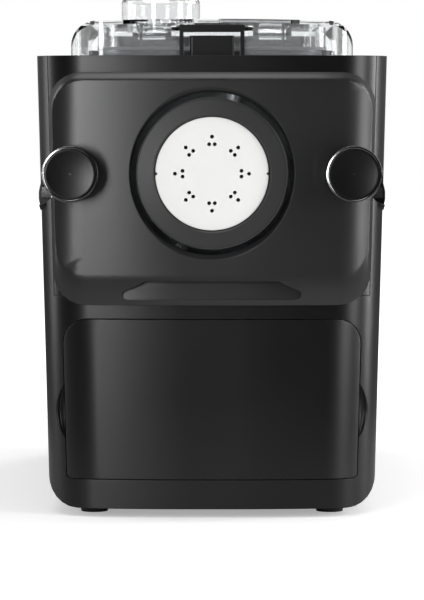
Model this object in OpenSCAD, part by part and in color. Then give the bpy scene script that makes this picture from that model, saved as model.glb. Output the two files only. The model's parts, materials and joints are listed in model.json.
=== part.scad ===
// Electric pasta maker: bowed housing, clamped front panel, drawer, mixing chamber and drive.
// X runs to the right, Y to the back and Z up, in millimetres. The origin is the middle of the
// footprint, on the table.

/* [Body] */
// Width of the body across its top edge
body_w = 210; // [206:1:222]
// Lean of each flank, in degrees
taper = 1.45; // [0.5:0.05:2.5]
// Thickness of the housing's wall
wall = 3; // [2:0.1:3.6]
// Radius of the two upright front corners
corner_r = 34; // [30:1:36]
// Radius of the slow bow across the front
bow_r = 400; // [360:10:600]
// Half width of the flat strip in the middle of the bow
front_flat = 20; // [14:1:26]
// Radius of the two upright back corners
rear_r = 26; // [18:1:34]
// Radius where the flanks turn under
under_r = 18; // [10:1:20]
// Height of the feet
foot_h = 4; // [3:0.5:6]
// Radius of a foot
foot_r = 9; // [7:0.5:12]
// Thickness of the base plate
base_t = 4; // [3:0.5:6]

/* [Front, from the table up] */
// Height of the drawer's lower edge above the table
drawer_low = 22.8; // [20:0.2:28]
// Height of the drawer front
drawer_h = 95; // [80:1:105]
// Height of the rail between drawer and panel
rail_h = 8.6; // [6:0.2:12]
// Height of the front panel
panel_h = 137.8; // [134:0.2:150]
// Height of the brow above the panel
brow_h = 9.8; // [6:0.2:16]
// Height of the drive axis above the panel's lower edge
axis_up = 78; // [76:1:80]

/* [Front panel] */
// Distance from the flank in to the panel's edge
panel_in = 7; // [6:0.5:11]
// How far the panel's face stands proud of the body
panel_proud = 7; // [5:0.5:10]
// Thickness of the panel's edge
panel_lip = 1.6; // [1:0.1:3]
// Radius of the panel's corners
panel_r = 20; // [12:1:30]
// Width of the bevel along the top
bevel_top = 5; // [3:0.5:8]
// Width of the bevel down each side
bevel_side = 2.4; // [1.5:0.1:5]
// Width of the bevel along the bottom
bevel_low = 18.6; // [12:0.2:24]
// Radius of the panel's round opening
opening_r = 48; // [47.6:0.1:50]
// Radius of the rounded shoulder round the opening
opening_round = 3.4; // [1:0.1:4]
// Half width of the grip recess along its lower edge
grip_half = 53; // [40:1:62]
// Height of the grip recess
grip_h = 11; // [8:0.5:13]

/* [Knobs] */
// Distance from the flank in to a knob's axis
knob_in = 22; // [21:0.5:24]
// Radius of a knob
knob_r = 16.5; // [14:0.5:17]
// How far a knob's face stands in front of the panel's face
knob_out = 15; // [10:1:20]
// Width of the bright bezel on a knob
bezel_w = 1.4; // [1:0.1:2]
// Radius of a clamp screw's shank
shank_r = 3.5; // [3:0.1:4]

/* [Drawer] */
// Distance from the flank in to the drawer front's edge
drawer_in = 12.2; // [11:0.2:17]
// Radius of the drawer front's upper corners
drawer_r = 15; // [8:1:20]
// Length of the drawer's tray
tray_len = 186; // [150:1:190]
// Thickness of the tray's walls
tray_wall = 2; // [1.6:0.1:3]
// How far the drawer slides out
drawer_travel = 140; // [100:5:150]

/* [Chamber and lid] */
// Inner radius of the mixing chamber's trough
trough_r = 66; // [62:0.5:67]
// Inner length of the chamber
chamber_len = 164; // [150:1:180]
// Thickness of the chamber's wall
chamber_wall = 3; // [2:0.1:3]
// Distance from the body's front face to the chamber
chamber_back = 48; // [46:1:56]
// Height of the chamber's rim above the body's top edge
rim_h = 3.4; // [2:0.1:5]
// How far the lid reaches past the chamber's rim on each side
lid_side = 10; // [8:0.5:14]
// Height of the lid above the body's top edge
lid_h = 22; // [20:0.5:28]
// Radius of the lid's long edges, seen from the front
lid_edge_r = 15.5; // [8:0.5:17]
// Thickness of the lid's clear wall
lid_wall = 2.4; // [1.8:0.1:3]
// Overhang of the lid in front of the chamber
lid_front = 24; // [20:1:28]
// How far the skirt under the lid stands outside the trough
skirt_out = 3; // [1:0.5:4]
// Radius of the round cap on the lid
cap_r = 24.4; // [20:0.2:28]
// Sideways place of the cap
cap_x = -32; // [-40:1:-28]
// Height of the cap above the lid
cap_h = 14.6; // [9:0.2:18]

/* [Extruder] */
// Inner radius of the extrusion tube
tube_r = 24; // [20:0.5:26]
// Wall of the extrusion tube
tube_wall = 3; // [2.5:0.1:4]
// Radius of the shaping disc
disc_r = 38.4; // [37:0.1:39]
// Thickness of the shaping disc
disc_t = 7.6; // [6:0.2:9]
// Outer radius of the retaining ring
ring_r = 44.7; // [43:0.1:46]
// Radius of the ring's window
window_r = 34; // [32:0.1:35.5]
// Radius of the screw's core
core_r = 9; // [7:0.5:11]
// Pitch of the screw's flight
flight_pitch = 21; // [16:1:26]
// Radius of the drive shaft
shaft_r = 8; // [7:0.1:8.5]
// Running clearance of a shaft in its bore
run_gap = 0.06; // [0.02:0.01:0.1]

/* [Gearbox and motor] */
// Module of the output pair
out_module = 1.5; // [1.3:0.05:1.5]
// Teeth of the output gear
out_teeth = 60; // [48:12:60]
// Teeth of the pinion that drives it
out_pinion = 15; // [12:3:15]
// Module of the motor pair
in_module = 1; // [0.8:0.05:1]
// Teeth of the intermediate wheel
in_teeth = 56; // [48:8:56]
// Teeth of the motor's pinion
in_pinion = 14; // [12:2:14]
// Radius of the motor
motor_r = 33; // [28:0.5:34]
// Length of the motor's can
motor_len = 68; // [60:1:80]

/* [Console] */
// Distance from the flank in to the control console
console_in = 37; // [25:1:41]
// Height of the console above the body's top edge
console_h = 16; // [14:0.5:20]
// Travel of a key or button
key_travel = 1.2; // [0.6:0.1:1.5]

/* [Hidden] */
$fn = 72;

// Gap between parts that sit together, and between parts that move past each other
seat = 0.05;
slip = 0.35;
eps = 0.01;
arc_steps = 6;

// Places across, from the flank in
panel_u = body_w / 2 - panel_in;
knob_x = body_w / 2 - knob_in;
drawer_u = body_w / 2 - drawer_in;
skirt_half = trough_r + skirt_out;
console_half = body_w / 2 - console_in;

// Heights
skirt_z = foot_h + 1;
drawer_z0 = drawer_low;
drawer_z1 = drawer_z0 + drawer_h;
panel_z0 = drawer_z1 + rail_h;
panel_z1 = panel_z0 + panel_h;
body_top = panel_z1 + brow_h;
axis_z = panel_z0 + axis_up;
base_z0 = skirt_z + wall;
base_z1 = base_z0 + base_t;
rim_z = body_top + rim_h;
lid_z1 = body_top + lid_h;
deck_t = 3.5;
deck_z0 = body_top - deck_t;

// Gear pairs: the wheels' centres lie on one upright line
out_centres = out_module * (out_teeth + out_pinion) / 2;
in_centres = in_module * (in_teeth + in_pinion) / 2;
mid_z = axis_z - out_centres;
motor_z = mid_z - in_centres;

// Depths, from the front face back. The body is as deep as what it holds.
bulkhead_t = 4;
gearbox_d = 42;
fan_room = 38;
panel_gap = 0.3;
body_d = chamber_back + chamber_len + 2 * chamber_wall + 8 + bulkhead_t + gearbox_d
    + motor_len + fan_room;
front_y = -(body_d - panel_proud - knob_out) / 2;
rear_y = front_y + body_d;
face_y = front_y - panel_proud;
chamber_y0 = front_y + chamber_back;
chamber_depth = chamber_len + 2 * chamber_wall;
chamber_y1 = chamber_y0 + chamber_depth;
chamber_mid = (chamber_y0 + chamber_y1) / 2;
bulkhead_y = chamber_y1 + 8;
gearbox_y0 = bulkhead_y + bulkhead_t;
gearbox_y1 = gearbox_y0 + gearbox_d;
motor_y1 = gearbox_y1 + motor_len;

// Body outline at the top edge: flat, bow, corner
corner_x = body_w / 2 - corner_r;
corner_y = front_y + bow_r - sqrt(pow(bow_r - corner_r, 2) - pow(corner_x - front_flat, 2));
bow_angle = asin((corner_x - front_flat) / (bow_r - corner_r));

function sunk(z) = (body_top - z) * tan(taper);
function flank_x(z) = body_w / 2 - sunk(z);
function arc(c, r, a0, a1, n) =
    [for (i = [0:n]) [c[0] + r * cos(a0 + (a1 - a0) * i / n), c[1] + r * sin(a0 + (a1 - a0) * i / n)]];
function mirrored(half) = concat(half, [for (i = [len(half) - 1:-1:0]) [-half[i][0], half[i][1]]]);

// Right half of the body's outline, moved inwards by inset
function half_outline(inset) = concat(
    [[0, front_y + inset]],
    arc([front_flat, front_y + bow_r], bow_r - inset, -90, bow_angle - 90, 8),
    arc([corner_x, corner_y], corner_r - inset, bow_angle - 90 + 6, 0, 12),
    arc([body_w / 2 - rear_r, rear_y - rear_r], rear_r - inset, 0, 90, 8),
    [[0, rear_y - inset]]);

// Depth of the body's front face, moved outwards by out, at a distance u from the middle
function bow_depth(u, out) =
    u <= front_flat ? front_y - out
    : u <= front_flat + (bow_r + out) * sin(bow_angle)
        ? front_y + bow_r - sqrt(pow(bow_r + out, 2) - pow(u - front_flat, 2))
    : corner_y - sqrt(max(0.01, pow(corner_r + out, 2) - pow(u - corner_x, 2)));

// Half of a front-view outline whose side leans with the flank
function leaned_half(u, z0, z1, r_low, r_top) = concat(
    arc([u - sunk(z0 + r_low) - r_low, z0 + r_low], r_low, -90, 0, arc_steps),
    arc([u - sunk(z1 - r_top) - r_top, z1 - r_top], r_top, 0, 90, arc_steps));

// A plan outline, drawn for the right half at the body's top edge, follows both leaning flanks
module leaning(z0, z1) {
    reach = body_w + body_d;
    for (side = [0, 1])
        mirror([side, 0, 0])
            intersection() {
                translate([0, 0, body_top])
                    rotate([0, taper, 0])
                        translate([0, 0, -2 * body_top])
                            linear_extrude(2 * body_top + 60) children();
                translate([0, -reach, z0]) cube([reach, 2 * reach, z1 - z0]);
            }
}

// A front-view profile runs from y0 to y1
module along_y(y0, y1) {
    translate([0, y1, 0]) rotate([90, 0, 0]) linear_extrude(y1 - y0) children();
}

// A profile of radius and depth turns about an axis along Y
module turned(x = 0, z = axis_z) {
    translate([x, 0, z]) rotate([-90, 0, 0]) rotate_extrude() children();
}

module rod_y(r, y0, y1, x = 0, z = axis_z) {
    translate([x, y0, z]) rotate([-90, 0, 0]) cylinder(r = r, h = y1 - y0);
}

module rod_x(r, x0, x1, y, z) {
    translate([x0, y, z]) rotate([0, 90, 0]) cylinder(r = r, h = x1 - x0);
}

module box(x0, x1, y0, y1, z0, z1) {
    translate([x0, y0, z0]) cube([x1 - x0, y1 - y0, z1 - z0]);
}

module both_sides() {
    children();
    mirror([1, 0, 0]) children();
}

// Rounded rectangle by true arcs
module rounded(w, h, r) {
    for (x = [-1, 1])
        for (y = [-1, 1])
            translate([x * (w / 2 - r), y * (h / 2 - r)]) circle(r);
    square([w - 2 * r, h], center = true);
    square([w, h - 2 * r], center = true);
}

module plate(x, y, z, w, d, t, r) {
    translate([x, y, z]) linear_extrude(t) rounded(w, d, r);
}

// ---- Housing -------------------------------------------------------------------------------

fascia_u = panel_u - 0.4;
fascia_z0 = panel_z0 + 5;
pocket_x = body_w / 2;
pocket_z = axis_z - 8.5;
pocket_r = 11;
pocket_y = front_y + 34;
pocket_wall = 2;
ear_r = 8.6;
ear_z = axis_z - 14;
ear_proud = 1.2;
drawer_gap = 0.5;
recess_h = 33;
recess_deep = 5.6;
recess_z = drawer_z0 + 40;
recess_r = (pow(recess_h / 2, 2) + pow(recess_deep, 2)) / (2 * recess_deep);
recess_x = drawer_u - sunk(recess_z) + recess_deep - recess_r;
recess_y = front_y + 20;
inlet_x = -46;
inlet_z = 44;
inlet_w = 48;
inlet_h = 27;

module outer_body(z1, inset = 0) {
    turn_z = skirt_z + under_r;
    turn_x = flank_x(turn_z) - under_r;
    intersection() {
        leaning(skirt_z, z1) polygon(half_outline(inset));
        along_y(front_y - 30, rear_y + 10)
            polygon(mirrored(concat(
                [[0, skirt_z + inset]],
                arc([turn_x, turn_z], under_r - inset, -90, 0, arc_steps),
                [[body_w, turn_z + 8], [body_w, z1 + 1], [0, z1 + 1]])));
    }
}

module front_outline(u, z0, z1, r_low, r_top) {
    polygon(mirrored(leaned_half(u, z0, z1, r_low, r_top)));
}

module knob_pockets(grow, y1) {
    both_sides()
        intersection() {
            rod_y(pocket_r + grow, front_y - 20, y1, pocket_x, pocket_z);
            box(fascia_u - 2 - grow, body_w, front_y - 20, y1, panel_z0, body_top - 6);
        }
}

// Half height of the notch where a clamp screw and its clip pass the upper front wall
clip_room = 10;

// Space for the upper front wall, as thick as the housing's own wall
module fascia_space(grow) {
    intersection() {
        along_y(front_y - 10, corner_y)
            polygon(mirrored([[0, fascia_z0 - grow],
                [fascia_u + grow - sunk(fascia_z0), fascia_z0 - grow],
                [fascia_u + grow, body_top], [fascia_u + grow, body_top + 1], [0, body_top + 1]]));
        leaning(fascia_z0 - grow, body_top + 1)
            difference() {
                polygon(half_outline(-grow * 10));
                polygon(half_outline(wall + grow));
            }
    }
}

// Crescent beside the drawer, where a finger reaches its edge
module finger_recess(grow, y1) {
    both_sides()
        intersection() {
            rod_y(recess_r + grow, front_y - 1, y1, recess_x, recess_z);
            box(drawer_u - sunk(recess_z) - 0.2, body_w, front_y - 1, y1, drawer_z0, drawer_z1);
        }
}

module housing_shell() {
    color("#26272a")
    difference() {
        union() {
            difference() {
                outer_body(body_top);
                outer_body(body_top + 1, wall);
            }
            intersection() {
                union() {
                    knob_pockets(pocket_wall, pocket_y + pocket_wall);
                    finger_recess(2, recess_y + 2);
                }
                outer_body(body_top - 1, wall - 1);
            }
            both_sides()
                translate([flank_x(ear_z) - wall, pocket_y - 4, ear_z])
                    rotate([0, 90, 0]) {
                        cylinder(r = ear_r, h = wall);
                        translate([0, 0, wall - eps]) cylinder(r1 = ear_r, r2 = ear_r - 4, h = ear_proud);
                    }
        }
        fascia_space(0.15);
        along_y(front_y - 10, corner_y)
            front_outline(drawer_u + drawer_gap, drawer_z0 - drawer_gap, drawer_z1 + drawer_gap,
                3, drawer_r);
        knob_pockets(0, pocket_y);
        both_sides() strap(slip);
        finger_recess(0, recess_y);
        vents();
        plate(0, base_mid, skirt_z - 1, base_open_w, base_open_d, wall + 2, 10);
        for (p = foot_places) translate([p[0], p[1], 0]) cylinder(r = foot_r / 2 + seat, h = base_z0 + 1);
        for (p = screw_places) translate([p[0], p[1], 0]) cylinder(r = 2.1, h = base_z0 + 1);
        translate([inlet_x, rear_y, inlet_z])
            rotate([90, 0, 0])
                translate([0, 0, -1]) linear_extrude(wall + 2) rounded(inlet_w + 0.6, inlet_h + 0.6, 4);
        translate([inlet_x, rear_y, inlet_z])
            rotate([90, 0, 0])
                translate([0, 0, -1]) linear_extrude(2.6) rounded(inlet_w + 8.6, inlet_h + 8.6, 5.3);
    }
}

module vents() {
    for (i = [-7:7])
        translate([i * 6, rear_y, motor_z])
            rotate([90, 0, 0])
                translate([0, 0, -1]) linear_extrude(wall + 2) rounded(3, 52, 1.49);
}

module front_fascia() {
    color("#232427")
    difference() {
        intersection() {
            fascia_space(0);
            leaning(fascia_z0, body_top) polygon(half_outline(0));
        }
        rod_y(opening_r + opening_round, front_y - 10, corner_y);
        both_sides()
            box(knob_x - clip_room, body_w, front_y - 10, corner_y, axis_z - clip_room, axis_z + clip_room);
    }
}

module base_plate() {
    color("#1d1e20")
    difference() {
        plate(0, base_mid, base_z0 + seat, base_open_w + 24, base_open_d + 24, base_t - seat, 14);
        for (p = foot_places) translate([p[0], p[1], 0]) cylinder(r = foot_r / 2 + 1, h = base_z1 + 1);
        for (p = screw_places) translate([p[0], p[1], 0]) cylinder(r = 1.6, h = base_z0 + base_t - 0.8);
        for (x = [-3:3])
            for (y = [-1, 1])
                plate(x * 16, base_mid + y * base_open_d * 0.3, base_z0 - 1, 4, 44, base_t + 2, 1.9);
    }
}

foot_in = 34;
foot_places = [for (x = [-1, 1]) for (y = [front_y + foot_in, rear_y - foot_in])
    [x * (body_w / 2 - foot_in), y]];
base_mid = (front_y + rear_y) / 2;
base_open_w = body_w - 78;
base_open_d = body_d - 56;
screw_places = [for (x = [-1, 1]) for (y = [-0.34, 0, 0.34])
    [x * (base_open_w / 2 + 6), y * body_d + base_mid]];

module feet() {
    color("#141414")
    for (p = foot_places)
        translate([p[0], p[1], 0]) {
            cylinder(r1 = foot_r - 1, r2 = foot_r, h = skirt_z - seat);
            cylinder(r = foot_r / 2, h = base_z0);
        }
}

module base_screws() {
    color("#9a9ca0")
    for (p = screw_places)
        translate([p[0], p[1], skirt_z - 1.6]) {
            cylinder(r = 3.6, h = 1.6 - seat);
            cylinder(r = 1.55, h = wall + base_t - 0.4);
        }
}

// ---- Frame inside ---------------------------------------------------------------------------

shelf_z0 = drawer_z1 + 4;
shelf_t = 3;
frame_half = body_w / 2 - 21;
outer_trough = trough_r + chamber_wall;
rim_half = outer_trough + 6;
lid_half = rim_half + lid_side;

module chassis_frame() {
    color("#55585c")
    difference() {
        union() {
            box(-frame_half, frame_half, bulkhead_y, gearbox_y0, base_z1 + seat, deck_z0 - 3);
            intersection() {
                box(-frame_half + 4, frame_half - 4, front_y, bulkhead_y, shelf_z0, shelf_z0 + shelf_t);
                leaning(shelf_z0, shelf_z0 + shelf_t) polygon(half_outline(wall + slip));
            }
            for (y = [chamber_y0 + 14, chamber_y1 - 22])
                difference() {
                    box(-frame_half + 6, frame_half - 6, y, y + 4, shelf_z0 + shelf_t - 1, axis_z - 10);
                    rod_y(outer_trough + slip, y - 1, y + 5);
                }
        }
        rod_y(core_r + 6, bulkhead_y - 1, bulkhead_y + bulkhead_t + 1);
        for (p = gearbox_screw_places) rod_y(2.1, bulkhead_y - 1, gearbox_y0 + 1, p[0], p[1]);
        for (x = [-60:40:60])
            plate(x, (front_y + bulkhead_y) / 2, shelf_z0 - 1, 18, 120, shelf_t + 2, 6);
    }
}

module chassis_screws() {
    color("#9a9ca0")
    for (p = gearbox_screw_places)
        turned(p[0], p[1])
            polygon([[0, bulkhead_y - 2.6], [3.6, bulkhead_y - 2.2], [3.6, bulkhead_y - seat],
                [2, bulkhead_y - seat], [2, gearbox_y0 + 7], [0, gearbox_y0 + 7]]);
}

// ---- Gearbox --------------------------------------------------------------------------------

gear_w = 12;
case_r = out_module * (out_teeth / 2 + 1) + 7;
case_low_r = 40;
case_low_z = motor_z - 24 + case_low_r;
case_wall = 3;
cover_t = 3;
gearbox_screw_places = [for (x = [-1, 1]) for (z = [axis_z + 34, axis_z - 34, motor_z + 2])
    [x * (z > mid_z ? case_r - 12 : case_low_r - 4), z]];
mid_pin_r = 4;
motor_screw_places = [for (a = [45:90:315]) [20 * cos(a), motor_z + 20 * sin(a)]];

// Belt-shaped outline round two circles on an upright line
function belt(r1, z1, r2, z2, n = 12) =
    let (a = asin((r1 - r2) / (z1 - z2)))
    concat(arc([0, z1], r1, -a, 180 + a, 2 * n), arc([0, z2], r2, 180 + a, 360 - a, n));

module case_outline(grow) {
    polygon(belt(case_r + grow, axis_z, case_low_r + grow, case_low_z));
}

module gearbox_housing() {
    color("#8b8f94")
    difference() {
        union() {
            along_y(gearbox_y0 + cover_t, gearbox_y1) case_outline(0);
            for (p = gearbox_screw_places)
                rod_y(5, gearbox_y0 + cover_t, gearbox_y1 - 8, p[0] * 1.06, p[1]);
            rod_y(15, gearbox_y1 - eps, gearbox_y1 + 5);
        }
        along_y(gearbox_y0, gearbox_y1 - case_wall)
            difference() {
                case_outline(-case_wall);
                for (p = gearbox_screw_places) translate([p[0], p[1]]) circle(5);
            }
        for (p = gearbox_screw_places) rod_y(2, gearbox_y0, gearbox_y0 + 14, p[0], p[1]);
        rod_y(shaft_r + 3, gearbox_y0, gearbox_y1 + 6);
        rod_y(mid_pin_r, gearbox_y0, gearbox_y1 - 1, 0, mid_z);
        rod_y(11, gearbox_y0, gearbox_y1 + 6, 0, motor_z);
        for (p = motor_screw_places) rod_y(1.6, gearbox_y0, gearbox_y1 + 6, p[0], p[1]);
    }
}

module gearbox_cover() {
    color("#7c8085")
    difference() {
        along_y(gearbox_y0 + seat, gearbox_y0 + cover_t - seat) case_outline(0);
        rod_y(shaft_r + 3, gearbox_y0 - 1, gearbox_y0 + 5);
        rod_y(mid_pin_r, gearbox_y0 - 1, gearbox_y0 + 5, 0, mid_z);
        for (p = gearbox_screw_places) rod_y(2.1, gearbox_y0 - 1, gearbox_y0 + 5, p[0], p[1]);
    }
}

module gearbox_screws() {
    color("#9a9ca0")
    for (p = motor_screw_places)
        turned(p[0], p[1])
            polygon([[0, gearbox_y1 - case_wall - 2.4], [2.8, gearbox_y1 - case_wall - 2.4],
                [2.8, gearbox_y1 - case_wall - seat], [1.5, gearbox_y1 - case_wall - seat],
                [1.5, gearbox_y1 + 5], [0, gearbox_y1 + 5]]);
}

// Points of one gear, with true involute flanks and a little backlash
function tooth_point(base, angle, half) =
    let (grown = tan(angle) * 180 / PI - angle)
    [base / cos(angle), half - grown];

function gear_points(teeth, module_size) =
    let (
        pitch = teeth * module_size / 2,
        base = pitch * cos(20),
        root = pitch - 1.25 * module_size,
        tip = pitch + module_size,
        low = root > base ? acos(base / root) : 0,
        high = acos(base / tip),
        half = 90 / teeth * 0.94 + tan(20) * 180 / PI - 20,
        flank = [for (i = [0:3]) tooth_point(base, low + (high - low) * i / 3, half)],
        start = [root, tooth_point(base, low, half)[1] * 1.02],
        rise = concat([start], root > base ? [for (i = [1:3]) flank[i]] : flank),
        polar = concat([for (p = rise) [p[0], -p[1]]], [for (i = [len(rise) - 1:-1:0]) rise[i]])
    )
    [for (k = [0:teeth - 1]) for (p = polar)
        [p[0] * cos(k * 360 / teeth + p[1]), p[0] * sin(k * 360 / teeth + p[1])]];

// First tooth points down on a wheel; a pinion above or below has its gap there
module gear(teeth, module_size, y0, y1, z, up) {
    translate([0, y1, z])
        rotate([90, 0, 0])
            linear_extrude(y1 - y0)
                rotate(up ? 90 + 180 / teeth : -90) polygon(gear_points(teeth, module_size));
}

out_y0 = gearbox_y0 + cover_t + 6;
in_y0 = out_y0 + gear_w + 5;
in_w = 8;

module output_shaft() {
    color("#a9acb0")
    difference() {
        union() {
            rod_y(shaft_r - 0.5, gearbox_y0 - 6, gearbox_y1 + 3);
            rod_y(shaft_r, gearbox_y0 + 0.5, gearbox_y1 + 2);
            translate([0, bulkhead_y - 8, axis_z])
                rotate([-90, 0, 0]) cylinder(r = hex_r, h = 12, $fn = 6);
        }
        translate([shaft_r - 1.5, out_y0 - 1, axis_z - 2]) cube([4, gear_w + 2, 4]);
    }
}

module output_bushes() {
    color("#b08d4a")
    for (y = [[gearbox_y0 + seat, gearbox_y0 + 5.6], [gearbox_y1 - case_wall - 2, gearbox_y1 + 4.5]])
        difference() {
            rod_y(shaft_r + 3 - seat / 2, y[0], y[1]);
            rod_y(shaft_r + run_gap, y[0] - 1, y[1] + 1);
        }
}

module output_gear() {
    color("#e8e4da")
    difference() {
        union() {
            gear(out_teeth, out_module, out_y0, out_y0 + gear_w, axis_z, false);
            rod_y(shaft_r + 6, out_y0 - 1, out_y0 + gear_w + 1.5);
        }
        rod_y(shaft_r + 0.01, out_y0 - 3, out_y0 + gear_w + 3);
        for (face = [[out_y0 - 1, out_y0 + 3.5], [out_y0 + gear_w - 3.5, out_y0 + gear_w + 1]])
            difference() {
                rod_y(out_module * (out_teeth / 2 - 4), face[0], face[1]);
                rod_y(shaft_r + 6, face[0] - 1, face[1] + 1);
            }
        for (a = [0:60:300])
            rod_y(6, out_y0 - 3, out_y0 + gear_w + 3, 27 * cos(a), axis_z + 27 * sin(a));
    }
    color("#e8e4da") translate([shaft_r - 1.4, out_y0, axis_z - 1.9]) cube([1.6, gear_w, 3.8]);
}

module intermediate_pin() {
    color("#a9acb0") rod_y(mid_pin_r - 0.02, gearbox_y0 + 0.5, gearbox_y1 - 1.2, 0, mid_z);
}

module intermediate_gear() {
    color("#d9d4c6")
    difference() {
        union() {
            gear(out_pinion, out_module, out_y0 - 0.5, in_y0 + 0.5, mid_z, true);
            gear(in_teeth, in_module, in_y0, in_y0 + in_w, mid_z, false);
            rod_y(9, in_y0, in_y0 + in_w + 1.5, 0, mid_z);
        }
        rod_y(mid_pin_r + run_gap, out_y0 - 3, in_y0 + in_w + 3, 0, mid_z);
    }
}

// ---- Motor ----------------------------------------------------------------------------------

rotor_r = 3.5;
core_pack_r = motor_r - 6;
fan_y = motor_y1 + 14;
fan_r = motor_r - 4;
fan_blades = 7;

module motor_can() {
    color("#6d7074")
    difference() {
        rod_y(motor_r, gearbox_y1 + seat, motor_y1, 0, motor_z);
        rod_y(motor_r - 2, gearbox_y1 + 3, motor_y1 + 1, 0, motor_z);
        rod_y(rotor_r + 4.5, gearbox_y1 - 1, gearbox_y1 + 4, 0, motor_z);
        for (p = motor_screw_places) rod_y(1.6, gearbox_y1 - 1, gearbox_y1 + 7, p[0], p[1]);
        for (a = [0:60:300])
            translate([0, 0, motor_z])
                rotate([0, a, 0])
                    translate([0, motor_y1 - 20, motor_r])
                        rotate([90, 0, 0]) cylinder(r = 6, h = 18, center = true);
    }
}

module motor_end_cap() {
    color("#3c3e41")
    difference() {
        union() {
            rod_y(motor_r, motor_y1 + seat, motor_y1 + 4, 0, motor_z);
            rod_y(motor_r - 2 - seat, motor_y1 - 3, motor_y1 + 1, 0, motor_z);
            rod_y(9, motor_y1, motor_y1 + 8, 0, motor_z);
        }
        rod_y(rotor_r + run_gap, motor_y1 - 4, motor_y1 + 9, 0, motor_z);
        rod_y(motor_r - 6, motor_y1 - 4, motor_y1, 0, motor_z);
        for (a = [30:60:330])
            rod_y(4.5, motor_y1 - 4, motor_y1 + 5, 20 * cos(a), motor_z + 20 * sin(a));
    }
}

module motor_rotor() {
    color("#a4683a") {
        rod_y(rotor_r, in_y0 - 1, fan_y + 12, 0, motor_z);
        difference() {
            gear(in_pinion, in_module, in_y0 - 0.5, in_y0 + in_w + 0.5, motor_z, true);
            rod_y(rotor_r - 0.5, in_y0 - 2, in_y0 + in_w + 2, 0, motor_z);
        }
        difference() {
            rod_y(core_pack_r, gearbox_y1 + 14, motor_y1 - 14, 0, motor_z);
            for (a = [0:30:330])
                rod_y(2, gearbox_y1 + 13, motor_y1 - 13,
                    core_pack_r * cos(a), motor_z + core_pack_r * sin(a));
        }
    }
}

module cooling_fan() {
    color("#2e3033")
    difference() {
        union() {
            rod_y(9, fan_y, fan_y + 10, 0, motor_z);
            for (k = [1:fan_blades])
                translate([0, fan_y + 5, motor_z])
                    rotate([0, 360 * k / fan_blades, 0])
                        translate([0, 0, 6])
                            rotate([0, 0, 38])
                                translate([-6.5, -0.9, 0]) cube([13, 1.8, fan_r - 6]);
        }
        rod_y(rotor_r + 0.01, fan_y - 2, fan_y + 13, 0, motor_z);
    }
}

// The board stands on edge; its transformer, capacitor and heat sink face the motor
board_x = frame_half - 24;
board_t = 2;
can_r = 8;

module power_board() {
    face_x = board_x - board_t;
    color("#2f6b4a") box(face_x, board_x, gearbox_y0 + 8, motor_y1, base_z1 + seat, base_z1 + 96);
    color("#303030")
        box(face_x - 14, face_x, gearbox_y0 + 20, gearbox_y0 + 48, base_z1 + 20, base_z1 + 46);
    color("#3a5f96")
        rod_y(can_r, motor_y1 - 44, motor_y1 - 18, face_x - can_r + seat, base_z1 + 40);
    color("#a0a3a6")
        box(face_x - 10, face_x, gearbox_y0 + 24, motor_y1 - 30, base_z1 + 64, base_z1 + 84);
}

module power_inlet() {
    color("#1b1c1e")
    translate([inlet_x, rear_y, inlet_z])
        rotate([90, 0, 0])
            difference() {
                union() {
                    translate([0, 0, 0.1])
                        linear_extrude(1.5 - seat) rounded(inlet_w + 8, inlet_h + 8, 5);
                    translate([0, 0, 0.1]) linear_extrude(18.9) rounded(inlet_w, inlet_h, 3.8);
                }
                translate([0, 0, -2]) linear_extrude(17) inlet_mouth();
            }
}

module inlet_mouth() {
    polygon([[-12, -8], [12, -8], [12, 4], [8, 8], [-8, 8], [-12, 4]]);
}

module inlet_pins() {
    color("#c9ccd0")
    for (p = [[-7, -2], [0, 2], [7, -2]])
        translate([inlet_x + p[0] - 2, rear_y - 15 + seat, inlet_z + p[1] - 1]) cube([4, 12, 2]);
}

// ---- Chamber and extruder ---------------------------------------------------------------------

module trough(r, top) {
    translate([0, axis_z]) circle(r);
    translate([-r, axis_z]) square([2 * r, top - axis_z]);
}

module mixing_chamber() {
    color("#dfe3e6", 0.6)
    difference() {
        union() {
            along_y(chamber_y0, chamber_y1) trough(outer_trough, rim_z);
            plate(0, chamber_mid, body_top + slip, 2 * rim_half, chamber_depth + 8,
                rim_h - slip, 10);
            rod_y(tube_r + tube_wall + 5, chamber_y0 - 6, chamber_y0 + 1);
            rod_y(shaft_r + 7, chamber_y1 - 1, chamber_y1 + 4);
        }
        along_y(chamber_y0 + chamber_wall, chamber_y1 - chamber_wall) trough(trough_r, rim_z + 1);
        rod_y(tube_r + tube_wall + slip, chamber_y0 - 7, chamber_y0 + chamber_wall + 1);
        rod_y(core_r + run_gap, chamber_y1 - chamber_wall - 1, chamber_y1 + 5);
    }
}

module tube_seal() {
    color("#8c2f2a")
    difference() {
        rod_y(tube_r + tube_wall + 6, chamber_y0 - 9, chamber_y0 - 6 - seat);
        rod_y(tube_r + tube_wall + seat, chamber_y0 - 10, chamber_y0 - 5);
    }
}

ring_y0 = face_y - 2;
disc_y0 = face_y - 0.2;
head_y0 = disc_y0 + disc_t + seat;
head_y1 = head_y0 + 10;
head_r = disc_r + 1.5;

module extrusion_tube() {
    color("#d5d8da")
    turned()
        polygon([[tube_r, chamber_y0 + chamber_wall], [tube_r, head_y1 + 2], [window_r, head_y0],
            [head_r, head_y0], [head_r, head_y1], [tube_r + tube_wall + 6, head_y1 + 3],
            [tube_r + tube_wall, head_y1 + 5], [tube_r + tube_wall, chamber_y0 + chamber_wall]]);
}

flight_r = tube_r - 0.6;
flight_y0 = head_y0 + 4;
flight_y1 = chamber_y0 + chamber_wall + 14;
flight_steps = 20;
hex_r = 5.6;

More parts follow.
